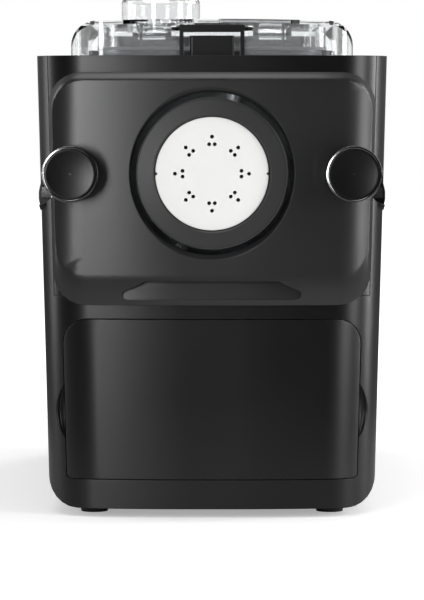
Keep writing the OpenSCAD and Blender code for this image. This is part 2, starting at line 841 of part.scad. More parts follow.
// Helical flight: rings of four points, from the core out, joined along the helix
module flight() {
    turns = (flight_y1 - flight_y0) / flight_pitch;
    n = ceil(turns * flight_steps);
    root_t = 5;
    tip_t = 3;
    section = [[core_r - 1.5, -root_t / 2], [flight_r, -tip_t / 2],
        [flight_r, tip_t / 2], [core_r - 1.5, root_t / 2]];
    points = [for (i = [0:n])
        let (a = 360 * turns * i / n, h = (flight_y1 - flight_y0 - root_t) * i / n + root_t / 2)
        for (q = section) [q[0] * cos(a), q[0] * sin(a), h + q[1]]];
    sides = [for (i = [0:n - 1]) for (k = [0:3])
        let (a = 4 * i + k, b = 4 * i + (k + 1) % 4)
        each [[a, b, b + 4], [a, b + 4, a + 4]]];
    translate([0, flight_y0, axis_z])
        rotate([-90, 0, 0])
            polyhedron(points, concat(sides, [[3, 2, 1, 0], [4 * n, 4 * n + 1, 4 * n + 2, 4 * n + 3]]));
}

module extrusion_screw() {
    color("#c4c7ca")
    difference() {
        union() {
            turned()
                polygon([[0, head_y0 + 1], [3, head_y0 + 1.5], [core_r, flight_y0 + 3],
                    [core_r, chamber_y1 + 5.5], [0, chamber_y1 + 5.5]]);
            flight();
        }
        translate([0, bulkhead_y - 8 - slip, axis_z])
            rotate([-90, 0, 0]) cylinder(r = hex_r + 0.1, h = 12, $fn = 6);
    }
}

module mixing_paddle() {
    arm_r = trough_r - 5;
    y0 = flight_y1 + 3;
    y1 = chamber_y1 - chamber_wall - 3;
    color("#d0d3d6")
    difference() {
        union() {
            rod_y(core_r + 3, y0, y1);
            for (side = [-1, 1])
                for (y = side > 0 ? [y0 + 8, y1 - 8] : [y0 + 34, y1 - 34])
                    rotate_about_axis(side > 0 ? 20 : 200)
                        translate([0, y, 0]) cylinder(r = 5, h = arm_r - 5);
            for (side = [-1, 1])
                rotate_about_axis(side > 0 ? 20 : 200)
                    translate([0, side > 0 ? y0 + 3 : y0 + 29, arm_r - 5])
                        rotate([-90, 0, 0]) cylinder(r = 5, h = side > 0 ? y1 - y0 - 6 : y1 - y0 - 58);
        }
        rod_y(core_r + 0.01, y0 - 1, y1 + 1);
    }
}

module rotate_about_axis(a) {
    translate([0, 0, axis_z]) rotate([0, a, 0]) children();
}

hole_ring = 20;

module disc_body(y0) {
    turned()
        polygon([[0, y0], [window_r - 0.9, y0], [window_r - 0.3, y0 + 0.6], [window_r - 0.3, y0 + 2.2],
            [disc_r, y0 + 2.2], [disc_r, y0 + disc_t], [0, y0 + disc_t]]);
}

module shaping_disc() {
    color("#f2f2f0")
    difference() {
        disc_body(disc_y0);
        for (k = [0:7])
            for (q = [[hole_ring - 2.6, -5.5], [hole_ring - 2.6, 5.5], [hole_ring + 1.8, 0]])
                rod_y(1.1, disc_y0 - 1, disc_y0 + disc_t + 1,
                    q[0] * cos(45 * k + 90 + q[1]), axis_z + q[0] * sin(45 * k + 90 + q[1]));
        for (side = [-1, 1])
            rod_y(2, disc_y0 - 1, disc_y0 + 1.4, side * (window_r + 0.6), axis_z);
    }
}

module retaining_ring() {
    lip_y = disc_y0 + 2.2 - seat;
    color("#5c5f63")
        turned()
            polygon([[window_r, ring_y0 + 0.8], [window_r + 0.8, ring_y0],
                [ring_r - 0.6, ring_y0 + 0.9], [ring_r, ring_y0 + 1.5], [ring_r, head_y1 - 1], [head_r + slip, head_y1 - 1],
                [head_r + slip, head_y0 - 1.2], [disc_r + 0.2, head_y0 - 1.2], [disc_r + 0.2, lip_y],
                [window_r, lip_y]]);
}

// ---- Front panel and its clamps -----------------------------------------------------------------

// Outline of the panel with points along its edges, so that it follows the bow
function edge_points(a, b, n) = [for (i = [1:n - 1]) a + (b - a) * i / n];
function panel_half(u, z0, z1, r) =
    let (h = leaned_half(u, z0, z1, r, r), low = h[0], high = h[len(h) - 1])
    concat([[0, z0]], edge_points([0, z0], low, 6), [for (i = [0:arc_steps]) h[i]],
        edge_points(h[arc_steps], h[arc_steps + 1], 5),
        [for (i = [arc_steps + 1:2 * arc_steps + 1]) h[i]],
        edge_points(high, [0, z1], 6), [[0, z1]]);
function panel_ring(f) =
    let (h = panel_half(panel_u - bevel_side * f, panel_z0 + bevel_low * f, panel_z1 - bevel_top * f,
        panel_r - bevel_side * f * 0.6))
    concat(h, [for (i = [len(h) - 2:-1:1]) [-h[i][0], h[i][1]]]);
function toward_axis(ring, m, r) = [for (p = ring)
    let (d = p - [0, axis_z], l = norm(d)) [0, axis_z] + d / l * (r + (l - r) * m)];
function raised(ring, out) = [for (p = ring) [p[0], bow_depth(abs(p[0]) + sunk(p[1]), out), p[1]]];

module loft(rings) {
    n = len(rings[0]);
    last = len(rings) - 1;
    points = [for (ring = rings) each ring];
    sides = [for (i = [0:last - 1]) for (k = [0:n - 1])
        let (a = i * n + k, b = i * n + (k + 1) % n)
        each [[a, b + n, b], [a, a + n, b + n]]];
    polyhedron(points, concat(sides,
        [[for (k = [0:n - 1]) k]], [[for (k = [n - 1:-1:0]) last * n + k]]));
}

module panel_body() {
    outer = panel_ring(0);
    inner = panel_ring(1);
    core_ring = opening_r - 9;
    lip_ring = opening_r + opening_round + 0.6;
    loft(concat(
        [raised(toward_axis(outer, 0, core_ring), -3)],
        [raised(outer, -3)],
        [raised(outer, panel_lip)],
        [raised(panel_ring(0.4), panel_lip + (panel_proud - panel_lip) * 0.52)],
        [raised(panel_ring(0.8), panel_lip + (panel_proud - panel_lip) * 0.92)],
        [raised(inner, panel_proud)],
        [for (m = [0.75, 0.5, 0.25, 0]) raised(toward_axis(inner, m, lip_ring), panel_proud)],
        [raised(toward_axis(inner, 0, core_ring), panel_proud)]));
}

boss_r = 13;
boss_y = bow_depth(knob_x - knob_r, panel_proud) - 0.4;
knob_back = boss_y - slip;
knob_face = face_y - knob_out;

module front_panel() {
    grip_z0 = panel_z0 + 3.6;
    color("#2b2c2f")
    difference() {
        union() {
            panel_body();
            both_sides() rod_y(boss_r, boss_y, bow_depth(knob_x, 0), knob_x, axis_z);
        }
        leaning(panel_z0 - 1, panel_z1 + 1) polygon(half_outline(-panel_gap));
        rod_y(opening_r, front_y - 40, front_y + 10);
        turned()
            polygon(concat([[0, face_y - 1], [opening_r + opening_round, face_y - 1]],
                arc([opening_r + opening_round, face_y + opening_round], opening_round, -90, -180, 5),
                [[0, face_y + opening_round]]));
        both_sides() rod_y(shank_r + run_gap, boss_y - 1, corner_y, knob_x, axis_z);
        along_y(face_y - 5, front_y - 0.3)
            polygon(mirrored(concat([[0, grip_z0]],
                arc([grip_half - 3, grip_z0 + 3], 3, -90, 35, 4),
                arc([grip_half - 14, grip_z0 + grip_h - 4], 4, 35, 90, 4), [[0, grip_z0 + grip_h]])));
    }
}

module knob_at(side) {
    translate([side * knob_x, 0, axis_z]) children();
}

// Shallow dish, from its rim in to its middle
function dish(r, y, deep, n) =
    [for (i = [n:-1:0]) [r * i / n, y + deep * (1 - i * i / (n * n))]];

module knob(side) {
    color("#1f2022")
    knob_at(side)
        rotate([-90, 0, 0])
            rotate_extrude()
                polygon([[shank_r + 0.02, knob_face + 6], [shank_r + 0.02, knob_back],
                    [knob_r - 0.8, knob_back], [knob_r, knob_back - 0.8], [knob_r, knob_face + 3.2],
                    [knob_r - bezel_w, knob_face + 3.2], [knob_r - bezel_w, knob_face + 0.6],
                    each dish(knob_r - bezel_w - 0.5, knob_face + 0.3, 1.3, 5),
                    [0, knob_face + 6]]);
}

module bezel(side) {
    color("#c9ccd0")
    knob_at(side)
        rotate([-90, 0, 0])
            rotate_extrude()
                polygon([[knob_r - bezel_w + seat, knob_face + 0.15],
                    [knob_r - bezel_w + 0.25, knob_face],
                    [knob_r - 0.3, knob_face + 0.2], [knob_r, knob_face + 0.7],
                    [knob_r, knob_face + 3.2 - seat], [knob_r - bezel_w + seat, knob_face + 3.2 - seat]]);
}

clip_r = shank_r + 2.6;
block_gap = 0.8;
clip_y = bow_depth(knob_x + clip_r + sunk(axis_z), 0);
block_y0 = pocket_y + pocket_wall + 0.5;
block_y1 = block_y0 + 11;

module clamp_screw(side) {
    color("#a9acb0")
    knob_at(side)
        rotate([-90, 0, 0])
            rotate_extrude()
                polygon([[0, knob_face + 6.2], [shank_r, knob_face + 6.2], [shank_r, clip_y],
                    [clip_r, clip_y], [clip_r, clip_y + 1.2], [shank_r, clip_y + 1.2],
                    [shank_r, block_y1 - 1], [shank_r - 1, block_y1], [0, block_y1]]);
}

module left_knob() { knob(-1); }
module right_knob() { knob(1); }
module left_bezel() { bezel(-1); }
module right_bezel() { bezel(1); }
module left_clamp_screw() { clamp_screw(-1); }
module right_clamp_screw() { clamp_screw(1); }

// Bright edge in the pocket under a knob, bent from the clamp block
strap_x = body_w / 2 - 8;
strap_z0 = axis_z - 15;
strap_z1 = axis_z - 8.6;

module strap(grow) {
    box(strap_x - grow, strap_x + 5 + grow, pocket_y - 8 - grow, block_y0 + 4 + grow,
        strap_z0 - grow, strap_z1 + grow);
}

// Each block is a fork, open towards the middle, round its clamp screw
module clamp_blocks() {
    slot = shank_r + block_gap;
    color("#b5b8bc")
    both_sides()
        difference() {
            union() {
                box(knob_x - 7, knob_x + 9, block_y0, block_y1, axis_z - 9, axis_z + 9);
                box(knob_x + 5, strap_x + 0.5, block_y0, block_y0 + 4, strap_z0, strap_z1);
                strap(0);
            }
            box(knob_x - 8, knob_x + slot, block_y0 - 1, block_y1 + 1, axis_z - slot, axis_z + slot);
        }
}

// ---- Drawer -------------------------------------------------------------------------------------

tray_half = drawer_u - 14.8;
front_t = wall + 1;
tray_y0 = bow_depth(tray_half + sunk(drawer_z0), -front_t) + 0.3;
tray_y1 = tray_y0 + tray_len;
tray_z0 = drawer_z0 + 3;
tray_z1 = drawer_z1 - 8;
rail_z = drawer_z0 + 24;
runner_z1 = rail_z + 8;

// The tray's lug meets the runner's stop when the drawer is fully out
stop_t = 4;
lug_y = tray_y1 - 16;
stop_y = lug_y - drawer_travel - slip;

module drawer_front() {
    color("#27282b")
    intersection() {
        leaning(drawer_z0, drawer_z1)
            difference() {
                polygon(half_outline(0));
                polygon(half_outline(front_t));
            }
        along_y(front_y - 10, corner_y)
            front_outline(drawer_u, drawer_z0, drawer_z1, 2.5, drawer_r - drawer_gap);
    }
    color("#27282b")
    for (x = [-46, 46])
        for (z = [drawer_z0 + 20, drawer_z1 - 26])
            rod_y(5, front_y + front_t - 1, tray_y0 - seat, x, z);
}

module drawer_tray() {
    color("#3a3c40")
    difference() {
        union() {
            box(-tray_half, tray_half, tray_y0, tray_y1, tray_z0, tray_z1);
            both_sides() {
                box(tray_half - 1, tray_half + 3, tray_y0 + 6, tray_y1, rail_z, rail_z + 4);
                box(tray_half - 1, tray_half + 4, lug_y, lug_y + stop_t, runner_z1 + 1, runner_z1 + 5);
            }
        }
        box(-tray_half + tray_wall, tray_half - tray_wall, tray_y0 + tray_wall, tray_y1 - tray_wall,
            tray_z0 + tray_wall, tray_z1 + 1);
    }
}

module drawer_runners() {
    color("#8d9094")
    both_sides() {
        difference() {
            box(tray_half + slip, tray_half + 6, tray_y0 + 8, tray_y1 + 4, rail_z - 4, runner_z1);
            box(tray_half - 1, tray_half + 3 + slip, tray_y0, tray_y1 + 10,
                rail_z - slip, rail_z + 4 + slip);
        }
        box(tray_half + slip, tray_half + 6, stop_y - stop_t, stop_y, runner_z1 - 1, runner_z1 + 5);
        for (y = [tray_y0 + 30, tray_y1 - 30]) {
            box(tray_half + 4, tray_half + 6, y, y + 14, base_z1 + seat, rail_z);
            box(tray_half - 4, tray_half + 6, y, y + 14, base_z1 + seat, base_z1 + 2);
        }
    }
}

module spare_disc(x, y) {
    translate([x, y, tray_z0 + tray_wall + seat])
        difference() {
            union() {
                cylinder(r = spare_r, h = disc_t - 2.2);
                cylinder(r = window_r - 0.3, h = disc_t);
            }
            children();
        }
}

// Spare discs lie in two columns, staggered as far as the tray's width asks
spare_r = disc_r - 0.8;
disc_step = 2 * spare_r + 0.2;
disc_dx = min(disc_step, 2 * (tray_half - tray_wall - spare_r - 0.3));
disc_dy = sqrt(pow(disc_step, 2) - pow(disc_dx, 2));
disc_row_y = tray_y0 + tray_wall + disc_r + 6;

module fine_noodle_disc() {
    color("#f2f2f0")
    spare_disc(-disc_dx / 2, disc_row_y)
        for (ring = [[8, 6], [16, 12], [24, 18]])
            for (k = [1:ring[1]])
                translate([ring[0] * cos(360 * k / ring[1]), ring[0] * sin(360 * k / ring[1]), -1])
                    cylinder(r = 0.9, h = disc_t + 2);
}

module flat_noodle_disc() {
    color("#e9e4d8")
    spare_disc(disc_dx / 2, disc_row_y + disc_dy)
        for (k = [0:7])
            rotate(45 * k) translate([12, -0.9, -1]) cube([14, 1.8, disc_t + 2]);
}

module tube_pasta_disc() {
    color("#dfe6ea")
    spare_disc(-disc_dx / 2, disc_row_y + max(disc_step, 2 * disc_dy))
        for (k = [0:5])
            rotate(60 * k)
                translate([20, 0, -1])
                    difference() {
                        cylinder(r = 5, h = disc_t + 2);
                        cylinder(r = 3.4, h = disc_t + 3);
                        translate([-6, -0.6, 0]) cube([12, 1.2, 4]);
                    }
}

// ---- Deck and lid ---------------------------------------------------------------------------------

lid_y0 = chamber_y0 - lid_front;
lid_y1 = chamber_y1 + 8;
lid_z0 = body_top + slip;
hinge_y = lid_y1 + 5.2;
hinge_z = lid_z1 - 4.6;
hinge_r = 4.2;
hinge_pin_r = 1.8;
knuckle_x = 31;
knuckle_w = 14.8;
ear_t = 6;
console_y0 = hinge_y + hinge_r + 2;
console_y1 = rear_y - wall - 3;
latch_y = lid_y0 + 5;
latch_z = body_top + 16.4;
latch_pin_r = 1.5;
latch_half = 19.4;
notch_half = 21.5;
slots = 10;
slot_step = 10;
slot_x = 26;
rib_x = 42.2;

module top_deck() {
    color("#303236")
    difference() {
        union() {
            leaning(deck_z0, body_top)
                intersection() {
                    polygon(half_outline(wall + 0.15));
                    translate([-20, front_y]) square([body_w, body_d]);
                }
            both_sides()
                for (x = [knuckle_x - ear_t - slip * 2, knuckle_x + knuckle_w + slip * 2])
                    difference() {
                        union() {
                            rod_x(hinge_r, x, x + ear_t, hinge_y, hinge_z);
                            box(x, x + ear_t, hinge_y - hinge_r + 0.6, hinge_y + hinge_r,
                                body_top - 1, hinge_z);
                        }
                        rod_x(hinge_pin_r, x - 1, x + ear_t + 1, hinge_y, hinge_z);
                    }
        }
        plate(0, chamber_mid, deck_z0 - 1, 2 * outer_trough + 2 * slip, chamber_depth + 2 * slip,
            deck_t + 2, 1);
        plate(0, (console_y0 + console_y1) / 2, deck_z0 - 1, 60, 60, deck_t + 2, 4);
    }
}

crown = 1.6;
lid_front_r = 22;
lid_rear_r = 8;
lid_bow = 2;

// Outline of the lid from the front: crowned top that runs into round shoulders
module lid_outline(inset) {
    crown_r = (pow(lid_half, 2) + pow(crown, 2)) / (2 * crown);
    centre_z = lid_z1 - crown_r;
    x = lid_half - lid_edge_r;
    z = centre_z + sqrt(pow(crown_r - lid_edge_r, 2) - pow(x, 2));
    intersection() {
        union() {
            for (side = [-1, 1]) translate([side * x, z]) circle(lid_edge_r - inset);
            translate([-x, lid_z0 - 1]) square([2 * x, lid_h + 2]);
            translate([inset - lid_half, lid_z0 - 1])
                square([2 * (lid_half - inset), z - lid_z0 + 1]);
        }
        translate([0, centre_z]) circle(crown_r - inset, $fn = 900);
    }
}

// Plan of the lid: its bowed front runs into round corners
module lid_plan(inset) {
    x = lid_half - lid_front_r;
    y = lid_y0 + lid_front_r + lid_bow;
    front_bow_r = (pow(x, 2) + pow(lid_bow, 2)) / (2 * lid_bow) + lid_front_r;
    intersection() {
        union() {
            for (side = [-1, 1]) {
                translate([side * x, y]) circle(lid_front_r - inset);
                translate([side * (lid_half - lid_rear_r), lid_y1 - lid_rear_r])
                    circle(lid_rear_r - inset);
            }
            translate([-x, lid_y0]) square([2 * x, lid_y1 - inset - lid_y0]);
            translate([inset - lid_half, y])
                square([2 * (lid_half - inset), lid_y1 - lid_rear_r - y]);
            translate([lid_rear_r - lid_half, y])
                square([2 * (lid_half - lid_rear_r), lid_y1 - inset - y]);
        }
        translate([0, lid_y0 + front_bow_r]) circle(front_bow_r - inset, $fn = 720);
    }
}

module lid_shape(inset) {
    intersection() {
        along_y(lid_y0 - 1, lid_y1 + 1) lid_outline(inset);
        translate([0, 0, lid_z0 - 1]) linear_extrude(lid_h + 5) lid_plan(inset);
    }
}

module lid_cover() {
    color("#dfe8ec", 0.4)
    difference() {
        union() {
            difference() {
                lid_shape(0);
                lid_shape(lid_wall);
                box(-lid_half - 5, lid_half + 5, lid_y0 - 5, lid_y1 + 5, lid_z0 - 5, lid_z0);
                box(-rim_half - 2, rim_half + 2, lid_y1 - 8, lid_y1 + 5, lid_z0 - 5, rim_z + 2.6);
            }
            both_sides()
                difference() {
                    box(notch_half, notch_half + 3, lid_y0 + 1, lid_y0 + 12, lid_z1 - 13, lid_z1 - 3);
                    rod_x(latch_pin_r + run_gap, 0, notch_half + 8, latch_y, latch_z);
                }
            both_sides()
                for (x = [rib_x - 1.9, rib_x + 1.1])
                    box(x, x + 0.8, lid_y0 + 1, lid_y0 + 9, lid_z0 + 3, lid_z1 - 4);
            both_sides()
                difference() {
                    union() {
                        rod_x(hinge_r - 0.4, knuckle_x, knuckle_x + knuckle_w, hinge_y, hinge_z);
                        box(knuckle_x, knuckle_x + knuckle_w, lid_y1 - 1, hinge_y,
                            hinge_z - 2.2, hinge_z + 2.2);
                    }
                    rod_x(hinge_pin_r + run_gap, knuckle_x - 1, knuckle_x + knuckle_w + 1,
                        hinge_y, hinge_z);
                }
        }
        box(-notch_half, notch_half, lid_y0 - 5, lid_y0 + 12, lid_z0 - 5, latch_z + 3.2);
        translate([cap_x, cap_y, lid_z1 - 10]) cylinder(r = cap_r - 3, h = 20);
        for (i = [0:slots - 1])
            plate(slot_x, chamber_y0 + 34 + i * slot_step, lid_z1 - 8, 44, 3, 20, 1.4);
    }
}

module lid_skirt() {
    color("#e6edf0", 0.5)
    translate([0, chamber_mid, rim_z + 2.4])
        linear_extrude(lid_z1 - lid_wall - 2.1 - rim_z - 2.4)
            difference() {
                rounded(2 * skirt_half, chamber_depth, 10);
                rounded(2 * skirt_half - 5, chamber_depth - 5, 8);
            }
}

module lid_seal() {
    color("#b9bdc1")
    translate([0, chamber_mid, rim_z + 0.3])
        linear_extrude(2.1 - seat)
            difference() {
                rounded(2 * skirt_half + 1, chamber_depth + 1, 10.5);
                rounded(2 * skirt_half - 5, chamber_depth - 5, 8);
            }
}

module lid_hinge_pins() {
    color("#b5b8bc")
    both_sides()
        rod_x(hinge_pin_r, knuckle_x - ear_t - 0.5, knuckle_x + knuckle_w + ear_t + 0.5, hinge_y, hinge_z);
}

module lid_latch() {
    color("#26272a") {
        rod_x(latch_pin_r, -notch_half - 2.6, notch_half + 2.6, latch_y, latch_z);
        box(-latch_half, latch_half, latch_y - 3, latch_y + 2, latch_z - 2.2, latch_z + 2.2);
        both_sides()
            box(latch_half - 2.4, latch_half, latch_y - 3, latch_y + 2, body_top + slip, latch_z + 2.2);
    }
}

module latch_block() {
    color("#232427") {
        plate(0, latch_y, body_top + seat, 26.4, 9, 12, 1.5);
        both_sides()
            box(13, latch_half - 2.8, latch_y - 2.5, latch_y + 1.5, body_top + seat, body_top + 2.6);
    }
}

switch_x = outer_trough + 11;

module lid_switch() {
    color("#1b1c1e") {
        box(switch_x - 6, switch_x + 6, chamber_y0 + 30, chamber_y0 + 52, deck_z0 - 12, deck_z0 - seat);
        translate([switch_x, chamber_y0 + 41, deck_z0 - 16]) cylinder(r = 1.4, h = 5);
    }
}

cap_y = chamber_y0 + 70;

module measuring_cap() {
    cap_t = 1.8;
    crown_r = 2.4;
    plug_r = cap_r - 3.3;
    web = 1.5;
    color("#e6eef2", 0.4)
    translate([cap_x, cap_y, lid_z1 + 0.1])
        rotate_extrude()
            polygon(concat([[cap_r, 0]],
                arc([cap_r - crown_r, cap_h - crown_r], crown_r, 0, 90, 5),
                [[0, cap_h], [0, cap_h - cap_t], [cap_r - crown_r - 0.6, cap_h - cap_t],
                [cap_r - cap_t, cap_h - crown_r - 0.6], [cap_r - cap_t, web + cap_t],
                [plug_r - 2.1, web + cap_t], [plug_r - 2.1, -6], [plug_r, -6], [plug_r, web],
                [cap_r - cap_t, web], [cap_r - cap_t, 0]]));
}

// ---- Console ----------------------------------------------------------------------------------------

key_x = console_half - 24;
key_places = [-key_x, -key_x / 2, key_x / 2, key_x];
console_z1 = body_top + console_h;
console_mid = (console_y0 + console_y1) / 2;
key_y = console_mid + 34;
button_r = 9;
console_t = 2.6;
glass_w = 2 * (console_half - 22);
glass_d = 34;
glass_y = console_mid - 26;
board_z = body_top + 5;

module key_hole(x, grow) {
    translate([x, key_y]) rounded(15 + 2 * grow, 9 + 2 * grow, 2);
}

module control_console() {
    depth = console_y1 - console_y0;
    color("#3a3c40")
    difference() {
        plate(0, console_mid, body_top + seat, 2 * console_half, depth, console_h - seat, 9);
        plate(0, console_mid, body_top - 1, 2 * (console_half - console_t), depth - 2 * console_t,
            console_h + 1 - console_t, 6.4);
        plate(0, glass_y, console_z1 - 1.5, glass_w, glass_d, 3, 4);
        plate(0, glass_y, body_top, glass_w - 8, glass_d - 8, console_h + 2, 3);
        translate([0, 0, body_top])
            linear_extrude(console_h + 2) for (x = key_places) key_hole(x, slip);
        translate([0, key_y, body_top]) cylinder(r = button_r + slip, h = console_h + 2);
    }
}

module display_window() {
    color("#0e1013") plate(0, glass_y, console_z1 - 1.5 + seat, glass_w - 0.3, glass_d - 0.3, 1.5, 3.8);
}

module control_board() {
    color("#2f6b4a") {
        plate(0, console_mid, board_z, 2 * console_half - 12, console_y1 - console_y0 - 12, 1.6, 3);
        for (x = [-1, 1])
            for (y = [console_y0 + 12, console_y1 - 12])
                translate([x * (console_half - 12), y, body_top + seat]) cylinder(r = 3, h = 5);
    }
}

// A key's cap stands proud of the console; its flange under the top keeps it in
cap_z0 = console_z1 - console_t - slip;
flange_z0 = cap_z0 - 1.2;
stem_z0 = board_z + 1.6 + key_travel + 0.3;

module console_key(x) {
    color("#4a4d51") {
        translate([0, 0, cap_z0 - 0.5]) linear_extrude(console_t + 2.1 + slip) key_hole(x, 0);
        translate([0, 0, flange_z0]) linear_extrude(1.2) key_hole(x, 1.4);
        translate([x, key_y, stem_z0]) cylinder(r = 2, h = cap_z0 - stem_z0);
    }
}

module mode_key() { console_key(key_places[0]); }
module weight_key() { console_key(key_places[1]); }
module minus_key() { console_key(key_places[2]); }
module plus_key() { console_key(key_places[3]); }

module start_button() {
    color("#d8dbde")
    translate([0, key_y, 0])
        rotate_extrude()
            polygon([[0, stem_z0], [2.5, stem_z0], [2.5, flange_z0], [button_r + 1.4, flange_z0],
                [button_r + 1.4, cap_z0], [button_r, cap_z0], [button_r, console_z1 + 1.2],
                [button_r - 0.8, console_z1 + 2], [0, console_z1 + 1.4]]);
}

housing_shell();
front_fascia();
base_plate();
feet();
base_screws();
top_deck();
chassis_frame();
chassis_screws();
gearbox_housing();
gearbox_cover();
gearbox_screws();
output_shaft();
output_bushes();
output_gear();
intermediate_pin();
intermediate_gear();
motor_can();
motor_end_cap();
motor_rotor();
cooling_fan();
power_board();
power_inlet();
inlet_pins();
mixing_chamber();
tube_seal();
extrusion_tube();
extrusion_screw();
mixing_paddle();
shaping_disc();
retaining_ring();
front_panel();
left_knob();
right_knob();
left_bezel();
right_bezel();
left_clamp_screw();
right_clamp_screw();
clamp_blocks();
drawer_front();
drawer_tray();
drawer_runners();
fine_noodle_disc();
flat_noodle_disc();
tube_pasta_disc();
lid_cover();
lid_skirt();
lid_seal();
lid_hinge_pins();
lid_latch();
latch_block();
lid_switch();
measuring_cap();
control_console();
display_window();
control_board();
start_button();
mode_key();
weight_key();
minus_key();
plus_key();
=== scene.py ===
"""Electric pasta maker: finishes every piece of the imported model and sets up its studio.
"""
import json
import math

import bmesh
import bpy
from bpy.props import FloatProperty, FloatVectorProperty, PointerProperty
from mathutils import Matrix, Vector

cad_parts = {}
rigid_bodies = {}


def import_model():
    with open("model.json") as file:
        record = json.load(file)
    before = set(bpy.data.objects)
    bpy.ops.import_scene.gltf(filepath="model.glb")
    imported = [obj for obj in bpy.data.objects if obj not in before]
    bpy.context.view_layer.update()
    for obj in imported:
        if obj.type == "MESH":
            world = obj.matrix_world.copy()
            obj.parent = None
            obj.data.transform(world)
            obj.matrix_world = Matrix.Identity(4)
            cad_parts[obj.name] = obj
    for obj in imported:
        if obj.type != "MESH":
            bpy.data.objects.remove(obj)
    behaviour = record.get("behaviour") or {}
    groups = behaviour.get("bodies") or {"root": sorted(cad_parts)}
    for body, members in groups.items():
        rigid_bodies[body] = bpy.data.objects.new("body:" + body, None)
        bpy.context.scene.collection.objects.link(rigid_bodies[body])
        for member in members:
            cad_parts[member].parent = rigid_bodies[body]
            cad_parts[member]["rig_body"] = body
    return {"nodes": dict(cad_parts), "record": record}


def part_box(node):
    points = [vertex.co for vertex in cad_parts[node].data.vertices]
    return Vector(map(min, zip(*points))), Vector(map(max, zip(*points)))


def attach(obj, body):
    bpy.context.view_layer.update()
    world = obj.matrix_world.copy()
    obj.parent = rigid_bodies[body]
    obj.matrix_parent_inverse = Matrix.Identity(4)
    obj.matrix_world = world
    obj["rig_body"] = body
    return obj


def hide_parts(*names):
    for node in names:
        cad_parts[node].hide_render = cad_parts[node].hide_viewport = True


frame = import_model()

bl_info = {
    "name": "Electric Pasta Maker",
    "version": (1, 0, 0),
    "blender": (4, 5, 0),
    "location": "3D View > Sidebar > Pasta Maker",
    "description": "Finishes the pieces of an electric pasta maker and lights them",
    "category": "Object",
}

MM = 0.001
NODES = frame["nodes"]
SLOTS = {part["node"]: part["material_slot"] for part in frame["record"]["subparts"]}
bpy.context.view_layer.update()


# ---- Settings ------------------------------------------------------------------------------------

def colour_prop(name, description, default):
    """A colour setting in linear light."""
    return FloatVectorProperty(name=name, description=description, default=default,
                               subtype="COLOR", size=3, min=0.0, max=1.0)


def length_prop(name, description, default, high=0.1):
    """A length setting in metres."""
    return FloatProperty(name=name, description=description, default=default,
                         min=0.0, max=high, unit="LENGTH", precision=5)


def share_prop(name, description, default, high=1.0):
    """A share from none to all."""
    return FloatProperty(name=name, description=description, default=default,
                         min=0.0, max=high, subtype="FACTOR")


class PastaMakerPlastics(bpy.types.PropertyGroup):
    """Colours and grain of the moulded parts."""
    housing: colour_prop("Housing", "Charcoal of the housing and drawer", (0.0036, 0.0037, 0.0039))
    panel: colour_prop("Panel", "Charcoal of the front panel", (0.0165, 0.0167, 0.0175))
    knob: colour_prop("Knobs", "Near black of the clamp knobs", (0.0042, 0.0043, 0.0046))
    ring: colour_prop("Ring", "Warm grey of the retaining ring", (0.031, 0.0312, 0.0325))
    disc: colour_prop("Disc", "White of the shaping disc", (0.86, 0.86, 0.845))
    clear: colour_prop("Clear", "Tint of the lid", (0.965, 0.978, 0.980))
    cap: colour_prop("Cap", "Tint of the measuring cap", (0.87, 0.878, 0.882))
    chamber: colour_prop("Chamber", "Tint of the mixing chamber", (0.86, 0.885, 0.90))
    grain: FloatProperty(name="Grain", description="Grain cells per metre in the moulded skin",
                         default=2600.0, min=200.0, max=9000.0)
    depth: length_prop("Grain depth", "Height of the grain in the moulded skin", 0.000016, 0.001)


class PastaMakerEdges(bpy.types.PropertyGroup):
    """Softened edges and small raised marks."""
    edge: length_prop("Edge radius", "Radius that softens the edges of moulded parts", 0.0006, 0.004)
    smooth: FloatProperty(name="Smooth angle", description="Edges flatter than this shade smooth",
                          default=math.radians(26), min=0.0, max=math.pi, subtype="ANGLE")
    mark: length_prop("Mark height", "How far the marks on the keys stand proud", 0.0003, 0.002)
    wear: share_prop("Wear", "How far edges are rubbed pale", 0.35)
    dust: share_prop("Dust", "How much dust lies on faces that look up", 0.12)


class PastaMakerStudio(bpy.types.PropertyGroup):
    """Camera and lamps."""
    camera_y: FloatProperty(name="Camera depth", description="Distance of the camera in front",
                            default=-2.056, unit="LENGTH")
    camera_z: FloatProperty(name="Camera height", description="Height of the camera",
                            default=0.2466, unit="LENGTH")
    tilt: FloatProperty(name="Tilt", description="How far the camera looks down",
                        default=math.radians(3.565), subtype="ANGLE")
    focal_share: FloatProperty(name="Focal share", description="Focal length over sensor height",
                               default=3181.0 / 600.0, min=0.5, max=20.0)
    key: FloatProperty(name="Key lamp", description="Power of the left softbox in watts",
                       default=9.3, min=0.0, max=500.0)
    side: FloatProperty(name="Side lamp", description="Power of the right strip in watts",
                        default=7.2, min=0.0, max=500.0)
    rim: FloatProperty(name="Rim lamps", description="Power of the strips behind in watts",
                       default=9.3, min=0.0, max=500.0)
    top: FloatProperty(name="Top lamp", description="Power of the overhead softbox in watts",
                       default=8.0, min=0.0, max=500.0)
    room: share_prop("Room light", "Strength of the even light from all round", 0.31, 4.0)


# ---- Shader parts --------------------------------------------------------------------------------

def add(tree, kind, inputs=None, **settings):
    """Adds a shader node with its settings, and gives its inputs values or links."""
    made = tree.nodes.new(kind)
    for name, value in settings.items():
        setattr(made, name, value)
    for key, value in (inputs or {}).items():
        if isinstance(value, bpy.types.NodeSocket):
            tree.links.new(value, made.inputs[key])
        else:
            made.inputs[key].default_value = value
    return made


def maths(tree, operation, *values, clamp=False):
    """One sum of two or three values."""
    return add(tree, "ShaderNodeMath", dict(enumerate(values)),
               operation=operation, use_clamp=clamp).outputs[0]


def blend(tree, share, low, high):
    """Mixes two colours by a share."""
    return add(tree, "ShaderNodeMix", {0: share, 6: low, 7: high}, data_type="RGBA").outputs[2]


